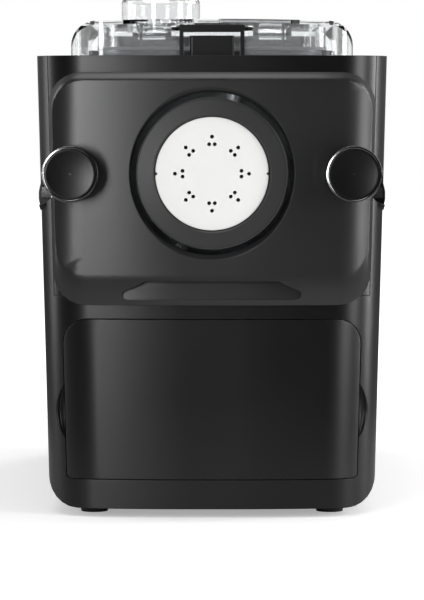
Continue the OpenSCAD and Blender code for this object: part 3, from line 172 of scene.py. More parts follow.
def spread(tree, value, low, high, to_low=0.0, to_high=1.0):
    """Stretches a value from one range to another, held at the ends."""
    return add(tree, "ShaderNodeMapRange",
               {0: value, 1: low, 2: high, 3: to_low, 4: to_high}).outputs[0]


def noise(tree, place, scale, detail=3.0, rough=0.5):
    """Fractal noise at a place."""
    return add(tree, "ShaderNodeTexNoise", {"Vector": place, "Scale": scale, "Detail": detail,
                                            "Roughness": rough}).outputs["Fac"]


def new_group(name, sockets):
    """An empty shader group with these sockets: (name, kind, input or output, default)."""
    group = bpy.data.node_groups.new(name, "ShaderNodeTree")
    for label, kind, side, default in sockets:
        socket = group.interface.new_socket(name=label, in_out=side, socket_type="NodeSocket" + kind)
        if side == "INPUT" and default is not None:
            socket.default_value = default
    return group, group.nodes.new("NodeGroupInput").outputs, group.nodes.new("NodeGroupOutput").inputs


def build_moulded_skin():
    """Moulded plastic skin: mottled colour, fine spark grain and faint scuffs."""
    group, given, out = new_group("Moulded Skin", [
        ("Colour", "Color", "INPUT", (0.02, 0.02, 0.02, 1)), ("Mottle", "Float", "INPUT", 0.1),
        ("Grain", "Float", "INPUT", 2600.0), ("Depth", "Float", "INPUT", 0.00002),
        ("Roughness", "Float", "INPUT", 0.4), ("Scuffs", "Float", "INPUT", 0.2),
        ("Edge", "Float", "INPUT", 0.0006), ("Colour", "Color", "OUTPUT", None),
        ("Roughness", "Float", "OUTPUT", None), ("Normal", "Vector", "OUTPUT", None)])
    place = add(group, "ShaderNodeTexCoord").outputs["Object"]
    clouds = maths(group, "SUBTRACT", noise(group, place, 16.0, 4.0), 0.5)
    cells = noise(group, place, given["Grain"], 2.0, 0.6)
    streaks = add(group, "ShaderNodeMapping", {"Vector": place, "Rotation": (0.3, 0.9, 0.4),
                                               "Scale": (40.0, 900.0, 70.0)}).outputs[0]
    scratch = spread(group, noise(group, streaks, 1.0, 5.0, 0.7), 0.66, 0.78)
    patches = spread(group, noise(group, place, 9.0, 3.0), 0.5, 0.72)
    scuffed = maths(group, "MULTIPLY", maths(group, "MULTIPLY", scratch, patches), given["Scuffs"])
    shade = maths(group, "MULTIPLY_ADD", clouds, given["Mottle"], 1.0)
    tone = add(group, "ShaderNodeVectorMath", {0: given["Colour"], "Scale": shade},
               operation="SCALE").outputs[0]
    paler = add(group, "ShaderNodeVectorMath", {0: tone, 1: (0.05, 0.05, 0.05)},
                operation="ADD").outputs[0]
    group.links.new(blend(group, scuffed, tone, paler), out["Colour"])
    rough = maths(group, "MULTIPLY_ADD", clouds, 0.12, given["Roughness"])
    fine = maths(group, "MULTIPLY_ADD", maths(group, "SUBTRACT", cells, 0.5), 0.08, rough)
    group.links.new(maths(group, "MULTIPLY_ADD", scuffed, 0.1, fine, clamp=True), out["Roughness"])
    rounded = add(group, "ShaderNodeBevel", {"Radius": given["Edge"]}, samples=4).outputs[0]
    bump = add(group, "ShaderNodeBump", {"Height": cells, "Distance": given["Depth"],
                                         "Strength": 1.0, "Normal": rounded}).outputs[0]
    group.links.new(bump, out["Normal"])
    return group


def build_worn_edges():
    """Mask of edges that hands and cloths rub, broken up by noise."""
    group, given, out = new_group("Worn Edges", [
        ("Radius", "Float", "INPUT", 0.0008), ("Amount", "Float", "INPUT", 0.3),
        ("Mask", "Float", "OUTPUT", None)])
    round_normal = add(group, "ShaderNodeBevel", {"Radius": given["Radius"]}, samples=4).outputs[0]
    flat_normal = add(group, "ShaderNodeNewGeometry").outputs["Normal"]
    turned = add(group, "ShaderNodeVectorMath", {0: round_normal, 1: flat_normal},
                 operation="DOT_PRODUCT").outputs["Value"]
    edge = spread(group, turned, 0.99, 0.75)
    place = add(group, "ShaderNodeTexCoord").outputs["Object"]
    broken = spread(group, noise(group, place, 130.0, 5.0, 0.7), 0.38, 0.62)
    rubbed = maths(group, "MULTIPLY", edge, broken)
    group.links.new(maths(group, "MULTIPLY", rubbed, given["Amount"], clamp=True), out["Mask"])
    return group


def build_settled_dust():
    """Mask of fine dust on faces that look up."""
    group, given, out = new_group("Settled Dust", [
        ("Amount", "Float", "INPUT", 0.1), ("Mask", "Float", "OUTPUT", None)])
    up = add(group, "ShaderNodeSeparateXYZ",
             {0: add(group, "ShaderNodeNewGeometry").outputs["Normal"]}).outputs[2]
    place = add(group, "ShaderNodeTexCoord").outputs["Object"]
    specks = spread(group, noise(group, place, 900.0, 3.0, 0.65), 0.52, 0.7)
    veil = maths(group, "MULTIPLY_ADD", specks, 0.6, 0.5)
    dust = maths(group, "MULTIPLY", veil, spread(group, up, 0.55, 0.98))
    group.links.new(maths(group, "MULTIPLY", dust, given["Amount"], clamp=True), out["Mask"])
    return group


def build_hand_marks():
    """Soft smudges and hairline scratches on glossy parts, as roughness and a normal."""
    group, given, out = new_group("Hand Marks", [
        ("Roughness", "Float", "INPUT", 0.05), ("Smudges", "Float", "INPUT", 0.1),
        ("Scratches", "Float", "INPUT", 0.00001), ("Roughness", "Float", "OUTPUT", None),
        ("Normal", "Vector", "OUTPUT", None)])
    place = add(group, "ShaderNodeTexCoord").outputs["Object"]
    prints = spread(group, noise(group, place, 38.0, 5.0, 0.62), 0.5, 0.7)
    rough = maths(group, "MULTIPLY_ADD", prints, given["Smudges"], given["Roughness"], clamp=True)
    group.links.new(rough, out["Roughness"])
    lines = add(group, "ShaderNodeMapping", {"Vector": place, "Rotation": (0.5, 0.2, 1.1),
                                             "Scale": (60.0, 2600.0, 90.0)}).outputs[0]
    hairs = spread(group, noise(group, lines, 1.0, 3.0, 0.6), 0.68, 0.74)
    bump = add(group, "ShaderNodeBump", {"Height": hairs, "Distance": given["Scratches"],
                                         "Strength": 1.0}).outputs[0]
    group.links.new(bump, out["Normal"])
    return group


def build_brush_lines():
    """Ground or brushed metal: fine lines, stretched along each axis by its own amount."""
    group, given, out = new_group("Brush Lines", [
        ("Stretch", "Vector", "INPUT", (40.0, 3000.0, 40.0)), ("Depth", "Float", "INPUT", 0.00001),
        ("Tone", "Color", "INPUT", (0.6, 0.6, 0.62, 1)), ("Roughness", "Float", "INPUT", 0.25),
        ("Colour", "Color", "OUTPUT", None), ("Roughness", "Float", "OUTPUT", None),
        ("Normal", "Vector", "OUTPUT", None)])
    place = add(group, "ShaderNodeTexCoord").outputs["Object"]
    along = add(group, "ShaderNodeVectorMath", {0: place, 1: given["Stretch"]},
                operation="MULTIPLY").outputs[0]
    lines = noise(group, along, 1.0, 6.0, 0.7)
    stains = noise(group, place, 60.0, 4.0)
    both = maths(group, "MULTIPLY", maths(group, "ADD", lines, stains), 0.5)
    shade = spread(group, both, 0.3, 0.7, 0.82, 1.08)
    group.links.new(add(group, "ShaderNodeVectorMath", {0: given["Tone"], "Scale": shade},
                        operation="SCALE").outputs[0], out["Colour"])
    rough = maths(group, "MULTIPLY_ADD", maths(group, "SUBTRACT", lines, 0.5), 0.3,
                  given["Roughness"], clamp=True)
    group.links.new(rough, out["Roughness"])
    bump = add(group, "ShaderNodeBump", {"Height": lines, "Distance": given["Depth"],
                                         "Strength": 1.0}).outputs[0]
    group.links.new(bump, out["Normal"])
    return group


GROUP_BUILDERS = {
    "Moulded Skin": build_moulded_skin,
    "Worn Edges": build_worn_edges,
    "Settled Dust": build_settled_dust,
    "Hand Marks": build_hand_marks,
    "Brush Lines": build_brush_lines,
}


def effect(tree, name, inputs=None):
    """Places a shared effect in a material and returns its outputs."""
    shared = bpy.data.node_groups.get(name) or GROUP_BUILDERS[name]()
    return add(tree, "ShaderNodeGroup", inputs, node_tree=shared).outputs


# ---- Materials -----------------------------------------------------------------------------------

def opaque(colour):
    """A colour with its alpha."""
    return (colour[0], colour[1], colour[2], 1.0)


def empty_material(name):
    """A new material with its Principled shader, and nothing linked to it."""
    material = bpy.data.materials.new(name)
    material.use_nodes = True
    shader = material.node_tree.nodes["Principled BSDF"]
    return material, material.node_tree, shader


def wire_skin(tree, shader, skin, wear, dust, pale):
    """Leads a moulded skin to a shader, with rubbed edges and dust on it."""
    worn = effect(tree, "Worn Edges", {"Radius": 0.0007, "Amount": wear})["Mask"]
    settled = effect(tree, "Settled Dust", {"Amount": dust})["Mask"]
    rubbed = blend(tree, worn, skin["Colour"], opaque(pale))
    tree.links.new(blend(tree, settled, rubbed, opaque((0.42, 0.41, 0.39))),
                   shader.inputs["Base Color"])
    tree.links.new(maths(tree, "MULTIPLY_ADD", settled, 0.3, skin["Roughness"], clamp=True),
                   shader.inputs["Roughness"])
    tree.links.new(skin["Normal"], shader.inputs["Normal"])


def moulded(name, colour, rough=0.42, grain=2600.0, depth=0.000016, mottle=0.22, scuffs=0.25,
            wear=0.3, dust=0.1, edge=0.0006, coat=0.0, gloss=0.5):
    """Moulded plastic with a fine grain."""
    material, tree, shader = empty_material(name)
    skin = effect(tree, "Moulded Skin", {"Colour": opaque(colour), "Mottle": mottle, "Grain": grain,
                                         "Depth": depth, "Roughness": rough, "Scuffs": scuffs,
                                         "Edge": edge})
    wire_skin(tree, shader, skin, wear, dust, [min(1.0, c * 1.8 + 0.03) for c in colour])
    shader.inputs["Coat Weight"].default_value = coat
    shader.inputs["Coat Roughness"].default_value = 0.25
    shader.inputs["Specular IOR Level"].default_value = gloss
    return material


def clear_plastic(name, colour, rough=0.02, smudges=0.05):
    """Clear or milky plastic that light goes through."""
    material, tree, shader = empty_material(name)
    marks = effect(tree, "Hand Marks", {"Roughness": rough, "Smudges": smudges})
    shader.inputs["Base Color"].default_value = opaque(colour)
    tree.links.new(marks["Roughness"], shader.inputs["Roughness"])
    tree.links.new(marks["Normal"], shader.inputs["Normal"])
    shader.inputs["Transmission Weight"].default_value = 1.0
    shader.inputs["IOR"].default_value = 1.49
    return material


def metal(name, colour, rough=0.25, stretch=(40.0, 3000.0, 40.0), depth=0.000008, wear=0.0):
    """Bare metal with the lines of its grinding or brushing."""
    material, tree, shader = empty_material(name)
    lines = effect(tree, "Brush Lines", {"Stretch": stretch, "Depth": depth,
                                         "Tone": opaque(colour), "Roughness": rough})
    worn = effect(tree, "Worn Edges", {"Radius": 0.0005, "Amount": wear})["Mask"]
    tree.links.new(blend(tree, worn, lines["Colour"], (0.85, 0.85, 0.86, 1)),
                   shader.inputs["Base Color"])
    tree.links.new(lines["Roughness"], shader.inputs["Roughness"])
    tree.links.new(lines["Normal"], shader.inputs["Normal"])
    shader.inputs["Metallic"].default_value = 1.0
    return material


def speckled(name, colour, spot, scale, rough, metallic):
    """A base colour with spots or crystals of a second one."""
    material, tree, shader = empty_material(name)
    place = add(tree, "ShaderNodeTexCoord").outputs["Object"]
    share = spread(tree, noise(tree, place, scale, 4.0, 0.6), 0.5, 0.62)
    skin = effect(tree, "Moulded Skin", {"Colour": blend(tree, share, opaque(colour), opaque(spot)),
                                         "Grain": scale * 6, "Depth": 0.00003, "Roughness": rough})
    wire_skin(tree, shader, skin, 0.2, 0.1, (0.16, 0.16, 0.165))
    shader.inputs["Metallic"].default_value = metallic
    return material


def circuit_board(name):
    """Green lacquer over a grid of copper tracks."""
    material, tree, shader = empty_material(name)
    place = add(tree, "ShaderNodeTexCoord").outputs["Object"]
    tracks = add(tree, "ShaderNodeTexBrick", {
        "Vector": place, "Scale": 90.0, "Mortar Size": 0.035, "Color1": (0.008, 0.075, 0.03, 1),
        "Color2": (0.012, 0.095, 0.038, 1), "Mortar": (0.05, 0.20, 0.07, 1)})
    skin = effect(tree, "Moulded Skin", {"Colour": tracks.outputs["Color"], "Roughness": 0.3,
                                         "Depth": 0.00001})
    tree.links.new(skin["Colour"], shader.inputs["Base Color"])
    tree.links.new(skin["Roughness"], shader.inputs["Roughness"])
    bump = add(tree, "ShaderNodeBump", {"Height": tracks.outputs["Fac"], "Distance": 0.00005,
                                        "Normal": skin["Normal"]}).outputs[0]
    tree.links.new(bump, shader.inputs["Normal"])
    return material


def display_glass(name):
    """Dark window: gloss over black with a few smudges."""
    material, tree, shader = empty_material(name)
    marks = effect(tree, "Hand Marks", {"Roughness": 0.06, "Smudges": 0.14})
    skin = effect(tree, "Moulded Skin", {"Colour": (0.006, 0.0065, 0.008, 1), "Mottle": 0.3,
                                         "Depth": 0.000001, "Scuffs": 0.05})
    tree.links.new(skin["Colour"], shader.inputs["Base Color"])
    tree.links.new(marks["Roughness"], shader.inputs["Roughness"])
    tree.links.new(marks["Normal"], shader.inputs["Normal"])
    shader.inputs["Coat Weight"].default_value = 0.6
    shader.inputs["Coat Roughness"].default_value = 0.04
    return material


def build_materials(scene):
    """Every finish of the pasta maker, by the name of its slot."""
    look, edges = scene.pasta_maker_plastics, scene.pasta_maker_edges
    skin = {"grain": look.grain, "depth": look.depth, "wear": edges.wear, "dust": edges.dust,
            "edge": edges.edge}
    ground = (60.0, 2600.0, 60.0)
    return {
        "housing_plastic": moulded("Housing plastic", look.housing, 0.325, gloss=0.52, **skin),
        "panel_plastic": moulded("Panel plastic", look.panel, 0.325, gloss=0.66, **skin),
        "drawer_plastic": moulded("Drawer plastic", look.housing, 0.325, gloss=0.54, **skin),
        "knob_plastic": moulded("Knob plastic", look.knob, 0.30, **skin),
        "tray_plastic": moulded("Tray plastic", (0.055, 0.056, 0.06), 0.5, **skin),
        "ring_plastic": moulded("Ring plastic", look.ring, 0.38, **skin),
        "console_plastic": moulded("Console plastic", (0.022, 0.0225, 0.0245), 0.4, **skin),
        "inlet_plastic": moulded("Inlet plastic", (0.012, 0.012, 0.013), 0.45, **skin),
        "fan_plastic": moulded("Fan plastic", (0.02, 0.02, 0.022), 0.4, **skin),
        "key_plastic": moulded("Key plastic", (0.09, 0.092, 0.096), 0.4, depth=0.000008, wear=0.2),
        "start_plastic": moulded("Start plastic", (0.46, 0.465, 0.475), 0.3, depth=0.000006,
                                 wear=0.2, coat=0.2),
        "disc_plastic": moulded("Disc plastic", look.disc, 0.34, depth=0.000006, mottle=0.05,
                                scuffs=0.1, wear=0.05, dust=0.0),
        "cream_plastic": moulded("Cream plastic", (0.72, 0.66, 0.53), 0.35, depth=0.000006,
                                 mottle=0.05, wear=0.05, dust=0.0),
        "pale_plastic": moulded("Pale plastic", (0.60, 0.68, 0.73), 0.35, depth=0.000006,
                                mottle=0.05, wear=0.05, dust=0.0),
        "tube_plastic": moulded("Tube plastic", (0.55, 0.56, 0.57), 0.4, mottle=0.08, wear=0.1),
        "gear_nylon": moulded("Gear nylon", (0.66, 0.62, 0.52), 0.45, mottle=0.15, wear=0.15),
        "clear_plastic": clear_plastic("Clear plastic", look.clear),
        "cap_plastic": clear_plastic("Cap plastic", look.cap),
        "chamber_plastic": clear_plastic("Chamber plastic", look.chamber, 0.16, 0.1),
        "seal_rubber": moulded("Seal rubber", (0.30, 0.31, 0.32), 0.6, 1500.0, 0.00002, wear=0.0),
        "foot_rubber": moulded("Foot rubber", (0.012, 0.012, 0.013), 0.75, 900.0, 0.00005),
        "frame_metal": moulded("Coated steel", (0.06, 0.063, 0.068), 0.35, 1400.0, 0.00002, coat=0.3),
        "bezel_metal": metal("Bezel metal", (0.34, 0.345, 0.36), 0.2, (300.0, 300.0, 300.0), 0.000002),
        "steel": metal("Screw steel", (0.55, 0.555, 0.57), 0.28, ground, wear=0.4),
        "polished_steel": metal("Ground steel", (0.66, 0.665, 0.68), 0.2, ground, wear=0.3),
        "bronze": metal("Sintered bronze", (0.58, 0.38, 0.16), 0.42, (900.0, 900.0, 900.0), 0.00002),
        "motor_metal": metal("Plated steel", (0.40, 0.405, 0.41), 0.36, (900.0, 30.0, 900.0)),
        "cast_alloy": speckled("Cast alloy", (0.42, 0.43, 0.45), (0.55, 0.56, 0.58), 700.0, 0.42, 1.0),
        "rotor_metal": speckled("Laminated rotor", (0.30, 0.13, 0.05), (0.16, 0.15, 0.15), 500.0,
                                0.4, 0.8),
        "board_green": circuit_board("Circuit board"),
        "display_glass": display_glass("Display glass"),
    }


MATERIALS = {}


# ---- Pieces --------------------------------------------------------------------------------------

def mesh_piece(name, shape, node_name, slot=None):
    """Turns a bmesh into a piece that rides where a CAD node rides."""
    mesh = bpy.data.meshes.new(name)
    shape.to_mesh(mesh)
    shape.free()
    piece = bpy.data.objects.new(name, mesh)
    bpy.context.scene.collection.objects.link(piece)
    slot = slot or SLOTS[node_name]
    mesh.materials.append(MATERIALS[slot])
    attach(piece, NODES[node_name]["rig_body"])
    return piece


def smooth_by_angle(piece, angle):
    """Shades a piece smoothly, apart from edges sharper than an angle."""
    piece.data.shade_smooth()
    piece.data.set_sharp_from_angle(angle=angle)


def welded(node_name):
    """A copy of a node's own shape with its corners joined."""
    joined = 0.002 * MM
    shape = bmesh.new()
    shape.from_mesh(NODES[node_name].data)
    bmesh.ops.remove_doubles(shape, verts=shape.verts, dist=joined)
    bmesh.ops.dissolve_degenerate(shape, edges=shape.edges, dist=joined)
    return shape


# The housing's outline at its top edge, in millimetres: a flat strip, a slow bow, round corners
BODY = {"half": 105.0, "top": 274.0, "lean": math.radians(1.45), "front": -178.0, "rear": 200.0,
        "flat": 20.0, "bow": 400.0, "corner": 34.0, "rear_corner": 26.0}

# The middle of the round front corner, in millimetres, and the angle at which the bow turns into it
CORNER_X = BODY["half"] - BODY["corner"]
CORNER_REACH = BODY["bow"] - BODY["corner"]
CORNER_Y = BODY["front"] + BODY["bow"] - math.sqrt(CORNER_REACH ** 2 - (CORNER_X - BODY["flat"]) ** 2)
CORNER_TURN = math.asin((CORNER_X - BODY["flat"]) / CORNER_REACH)

# A crowned face shades as if its places lay further out, or further in where the value is negative.
# The shift, in millimetres, grows from nothing at the start to all of it a width further out, and on
# the left it changes by the rise with each millimetre above the level.
CROWN_AT = {"start": 42.0, "width": 40.0, "level": 225.0}
PLAIN_CROWN = {"left": 0.0, "right": 0.0, "rise": 0.0}

# How far a facet may turn away from the bowed skin that it lies on, in front and behind, and how far
# a corner's shading may turn away from its facet, in degrees
SKIN_TURN = {"front": 6.5, "behind": 7.0, "shading": 22.0}


def divided(shape):
    """Splits long edges of facets that face the front, so that shading follows the bow closely."""
    longest, facing, rounds = 10.0 * MM, -0.8, 3
    for _ in range(rounds):
        split = [edge for edge in shape.edges if edge.calc_length() > longest
                 and all(face.normal.y < facing for face in edge.link_faces)]
        bmesh.ops.subdivide_edges(shape, edges=split, cuts=1)
        bmesh.ops.triangulate(shape, faces=shape.faces)
        shape.normal_update()
    return shape


def across_top(x, z):
    """Where a place across and up would be on the outline at the top edge, in millimetres."""
    return abs(x) * math.cos(BODY["lean"]) - (z - BODY["top"]) * math.sin(BODY["lean"])


def skin_depth(x, z):
    """Depth of the housing's front corner at a place across and up, in millimetres."""
    return CORNER_Y - math.sqrt(BODY["corner"] ** 2 - (across_top(x, z) - CORNER_X) ** 2)


def body_normal(place):
    """Which way the housing's skin faces at a place, in front of it or behind it."""
    across, depth = across_top(place.x / MM, place.z / MM), place.y / MM
    rear_x, rear_y = BODY["half"] - BODY["rear_corner"], BODY["rear"] - BODY["rear_corner"]
    if depth > rear_y:
        flat = Vector((across - rear_x, depth - rear_y)) if across > rear_x else Vector((0, 1))
    elif depth > CORNER_Y:
        flat = Vector((1, 0))
    elif across <= BODY["flat"]:
        flat = Vector((0, -1))
    else:
        flat = Vector((across - BODY["flat"], depth - BODY["front"] - BODY["bow"]))
        if math.atan2(flat.x, -flat.y) > CORNER_TURN:
            flat = Vector((across - CORNER_X, depth - CORNER_Y))
    flat.normalize()
    side, lean = 1.0 if place.x >= 0 else -1.0, BODY["lean"]
    return Vector((side * flat.x * math.cos(lean), flat.y, -flat.x * math.sin(lean)))


def crowned(place, crown):
    """A place moved across near a flank, where a crowned face rolls off early or late."""
    share = min(1.0, max(0.0, (abs(place.x) / MM - CROWN_AT["start"]) / CROWN_AT["width"]))
    left = crown["left"] + crown["rise"] * (place.z / MM - CROWN_AT["level"])
    shift = (-left if place.x < 0 else crown["right"]) * share * share * (3 - 2 * share) * MM
    return Vector((place.x + shift, place.y, place.z))


def flat_floor(mesh, polygon):
    """Whether a facet that faces the front is the flat floor of a recess and not the bowed skin."""
    corners = [mesh.vertices[index].co for index in polygon.vertices]
    depths = [corner.y for corner in corners]
    widest = max(abs(corner.x) for corner in corners)
    return max(depths) - min(depths) < 0.001 * MM and widest > (BODY["flat"] + 1) * MM


def lies_on_skin(mesh, polygon):
    """Whether a facet is part of the bowed skin, to be shaded as the bow."""
    turn = SKIN_TURN["behind" if polygon.center.y > 0 else "front"]
    follows = polygon.normal.dot(body_normal(polygon.center)) > math.cos(math.radians(turn))
    return follows and not flat_floor(mesh, polygon)


def follow_skin(mesh, crown):
    """Shades the facets of the bowed skin as the bow, or as a crowned one, whatever is cut out."""
    normals = [tuple(corner.vector) for corner in mesh.corner_normals]
    fans = {}
    for polygon in mesh.polygons:
        on_skin = lies_on_skin(mesh, polygon)
        for loop in polygon.loop_indices:
            key = (mesh.loops[loop].vertex_index, *(round(part, 2) for part in normals[loop]))
            fans.setdefault(key, []).append((loop, on_skin))
    for (vertex, *_), corners in fans.items():
        if any(on_skin for _, on_skin in corners):
            true_normal = tuple(body_normal(crowned(mesh.vertices[vertex].co, crown)))
            for loop, _ in corners:
                normals[loop] = true_normal
    least = math.cos(math.radians(SKIN_TURN["shading"]))
    for polygon in mesh.polygons:
        for loop in polygon.loop_indices:
            if polygon.normal.dot(Vector(normals[loop])) < least:
                normals[loop] = tuple(polygon.normal)
    mesh.normals_split_custom_set(normals)


def smoothed(node_name, angle):
    """A copy of a moulded part that shades smoothly over its curves."""
    piece = mesh_piece(node_name + "_finish", welded(node_name), node_name)
    smooth_by_angle(piece, angle)
    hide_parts(node_name)


def bowed(node_name, angle, crown):
    """A copy of a part of the bowed skin that shades as the bow."""
    piece = mesh_piece(node_name + "_finish", divided(welded(node_name)), node_name)
    smooth_by_angle(piece, angle)
    follow_skin(piece.data, crown)
    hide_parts(node_name)


def coated(node_name, finish=None):
    """Gives a CAD node the finish of its slot, or another one."""
    own = NODES[node_name]
    own.data.materials.clear()
    own.data.materials.append(MATERIALS[finish or SLOTS[node_name]])
    for polygon in own.data.polygons:
        polygon.material_index = 0


def stroke_outline(points, width):
    """Outline of a line with round ends, through points in millimetres."""
    half, arc_steps = width / 2, 6
    steps = [(b - a).normalized() for a, b in zip(points, points[1:])]
    tangents = [steps[0]] + [(a + b).normalized() for a, b in zip(steps, steps[1:])] + [steps[-1]]
    across = [Vector((-t.y, t.x)) * half for t in tangents]
    left = [p + n for p, n in zip(points, across)]
    right = [p - n for p, n in zip(points, across)]

    def round_end(centre, start):
        """Points of the half circle round an end of the line."""
        turns = [Matrix.Rotation(-math.pi * k / arc_steps, 2) for k in range(1, arc_steps)]
        return [centre + turn @ start for turn in turns]

    return (left + round_end(points[-1], across[-1])
            + right[::-1] + round_end(points[0], -across[0]))


def raised_mark(node_name, strokes, height, width=0.95, slot="disc_plastic"):
    """Raised strokes on top of a key, each a run of points in millimetres from its middle."""
    low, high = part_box(node_name)
    middle = (low + high) / 2
    sunk, shoulder, chamfer = -0.04 * MM, 0.6 * height, 0.14
    shape = bmesh.new()
    for stroke in strokes:
        rings = []
        for wide, up in ((width, sunk), (width, shoulder), (width - 2 * chamfer, height)):
            outline = stroke_outline([Vector(point) for point in stroke], wide)
            rings.append([shape.verts.new((middle.x + point.x * MM, middle.y + point.y * MM,
                                           high.z + up)) for point in outline])
        for lower, upper in zip(rings, rings[1:]):
            for k in range(len(lower)):
                after = (k + 1) % len(lower)
                shape.faces.new((lower[k], upper[k], upper[after], lower[after]))
        shape.faces.new(rings[-1][::-1])
    bmesh.ops.recalc_face_normals(shape, faces=shape.faces)
    return mesh_piece(node_name + "_mark", shape, node_name, slot)


def turned_piece(name, node_name, profile, slot, places=((0.0, 0.0),), steps=96):
    """A profile of radius and depth in millimetres, turned about a node's own Y axis."""
    low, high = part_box(node_name)
    middle = (low + high) / 2
    shape = bmesh.new()
    for across, up in places:
        rings = []
        for k in range(steps):
            turn = 2 * math.pi * k / steps
            rings.append([shape.verts.new((middle.x + (across + radius * math.cos(turn)) * MM,
                                           low.y + depth * MM,
                                           middle.z + (up + radius * math.sin(turn)) * MM))
                          for radius, depth in profile])
        for k in range(steps):
            here, there = rings[k], rings[(k + 1) % steps]
            for j in range(len(profile) - 1):
                shape.faces.new((here[j], here[j + 1], there[j + 1], there[j])).smooth = True
    bmesh.ops.remove_doubles(shape, verts=shape.verts, dist=0.0001 * MM)
    bmesh.ops.recalc_face_normals(shape, faces=shape.faces)
    return mesh_piece(name, shape, node_name, slot)


# The finger recess beside the drawer, in millimetres: the middle and radius of its circle, the edge of
# the drawer beside it, how deep it falls and climbs again towards the drawer, and how far its floor
# reaches past the circle and stays behind the housing's skin
RECESS = {"across": 65.94, "up": 62.8, "radius": 27.11, "edge": 87.95, "fall": 3.4, "climb": 0.7,
          "past": 0.05, "behind": 0.03}


def scoop_depth(share):
    """How deep the recess is at a share of the way from its rim to the drawer, in millimetres."""
    fallen_at, climbs_from = 0.55, 0.72
    fall = (1 - math.cos(math.pi * min(1.0, share / fallen_at))) / 2
    climb = max(0.0, (share - climbs_from) / (1 - climbs_from)) ** 2
    return RECESS["fall"] * fall - RECESS["climb"] * climb


def recess_scoop(side):
    """The hollow that the housing's skin turns down into, beside the drawer."""
    shape, rows, columns, half_rows = bmesh.new(), [], 14, 15
    radius = RECESS["radius"] + RECESS["past"]
    widest = RECESS["across"] + RECESS["radius"] - RECESS["edge"]
    short_of_tip, swell = 0.01, 0.7
    span = math.acos((RECESS["edge"] - RECESS["across"]) / RECESS["radius"]) - short_of_tip
    for level in range(-half_rows, half_rows + 1):
        turn = span * level / half_rows
        rim = RECESS["across"] + radius * math.cos(turn)
        z = RECESS["up"] + radius * math.sin(turn)
        edge = RECESS["edge"] + (z - RECESS["up"]) * math.tan(BODY["lean"])
        hollow = max(0.0, (rim - edge) / widest) ** swell
        row = []
        for k in range(columns + 1):
            x = rim - (rim - edge) * k / columns
            y = skin_depth(x, z) + RECESS["behind"] + scoop_depth(k / columns) * hollow
            row.append(shape.verts.new((side * x * MM, y * MM, z * MM)))
        rows.append(row)
    for lower, upper in zip(rows, rows[1:]):
        for k in range(columns):
            face = shape.faces.new((lower[k], lower[k + 1], upper[k + 1], upper[k])[::side])
            face.smooth = True
    mesh_piece(("left" if side < 0 else "right") + "_recess_scoop", shape, "housing_shell")


# The grip recess along the panel's lower edge, in millimetres: its height, the plane of its back, its
# floor's place in front of the housing's skin at the low and the high edge, how far it sits in the
# walls, and the arcs of its right end: middle across and up, radius, and start and end in degrees
GRIP = {"low": 130.0, "high": 141.0, "back": -178.3, "low_floor": 2.6, "high_floor": 1.1, "tuck": 0.4}
GRIP_ARCS = ((50.0, 133.0, 3.0, -90, 35), (39.0, 137.0, 4.0, 35, 90))


def grip_outline():
    """Half width and height of the grip recess, from its lower edge up its rounded end."""
    arc_steps = 6
    for across, up, radius, start, end in GRIP_ARCS:
        for k in range(arc_steps + 1):
            turn = math.radians(start + (end - start) * k / arc_steps)
            yield (across + (radius + GRIP["tuck"]) * math.cos(turn),
                   up + (radius + GRIP["tuck"]) * math.sin(turn))


def grip_floor():
    """The floor of the grip recess, bowed like the panel and leaning back towards the top."""
    shape, columns, rows = bmesh.new(), 40, []
    for half, z in grip_outline():
        height = (z - GRIP["low"]) / (GRIP["high"] - GRIP["low"])
        proud = GRIP["low_floor"] + (GRIP["high_floor"] - GRIP["low_floor"]) * height
        row = []
        for k in range(columns + 1):
            x = half * (2 * k / columns - 1)
            beyond = max(0.0, abs(x) - BODY["flat"])
            bow = BODY["bow"] - math.sqrt(BODY["bow"] ** 2 - beyond ** 2)
            row.append(shape.verts.new((x * MM, (BODY["front"] + bow - proud) * MM, z * MM)))
        rows.append(row)
    for lower, upper in zip(rows, rows[1:]):
        for k in range(columns):
            shape.faces.new((lower[k], lower[k + 1], upper[k + 1], upper[k]))
    right, left = [row[-1] for row in rows[1:-1]], [row[0] for row in rows[1:-1]]
    rim = rows[0] + right + rows[-1][::-1] + left[::-1]
    back = [shape.verts.new((corner.co.x, GRIP["back"] * MM, corner.co.z)) for corner in rim]
    for k, corner in enumerate(rim):
        after = (k + 1) % len(rim)
        shape.faces.new((corner, back[k], back[after], rim[after]))
    shape.faces.new(back)
    bmesh.ops.recalc_face_normals(shape, faces=shape.faces)
    smooth_by_angle(mesh_piece("grip_floor", shape, "front_panel"), math.radians(30))


class PieceOperator:
    """Shared by the operators that finish a group of pieces."""
    bowed_nodes = ()
    smooth_nodes = ()
    plain_nodes = ()
    crown = PLAIN_CROWN

    def execute(self, context):
        """Finishes each node of the group, and then its extra pieces."""
        angle = context.scene.pasta_maker_edges.smooth
        for name in self.bowed_nodes:
            bowed(name, angle, self.crown)
        for name in self.smooth_nodes:
            smoothed(name, angle)
        for name in self.plain_nodes:
            coated(name)
        self.extras(context)
        return {"FINISHED"}

    def extras(self, context):
        """Adds the pieces that only this group has."""


class PASTA_OT_finishes(bpy.types.Operator):
    """Makes the finishes that every piece takes"""
    bl_idname = "pasta_maker.finishes"
    bl_label = "Finishes"

    def execute(self, context):
        MATERIALS.update(build_materials(context.scene))
        return {"FINISHED"}


class PASTA_OT_housing(PieceOperator, bpy.types.Operator):
    """Finishes the housing, its upper front wall, base, feet and deck"""
    bl_idname = "pasta_maker.housing"
    bl_label = "Housing"
    bowed_nodes = ("housing_shell", "front_fascia")
    plain_nodes = ("top_deck", "base_plate", "feet", "base_screws", "power_inlet", "inlet_pins")

    def extras(self, context):
        for side in (-1, 1):
            recess_scoop(side)


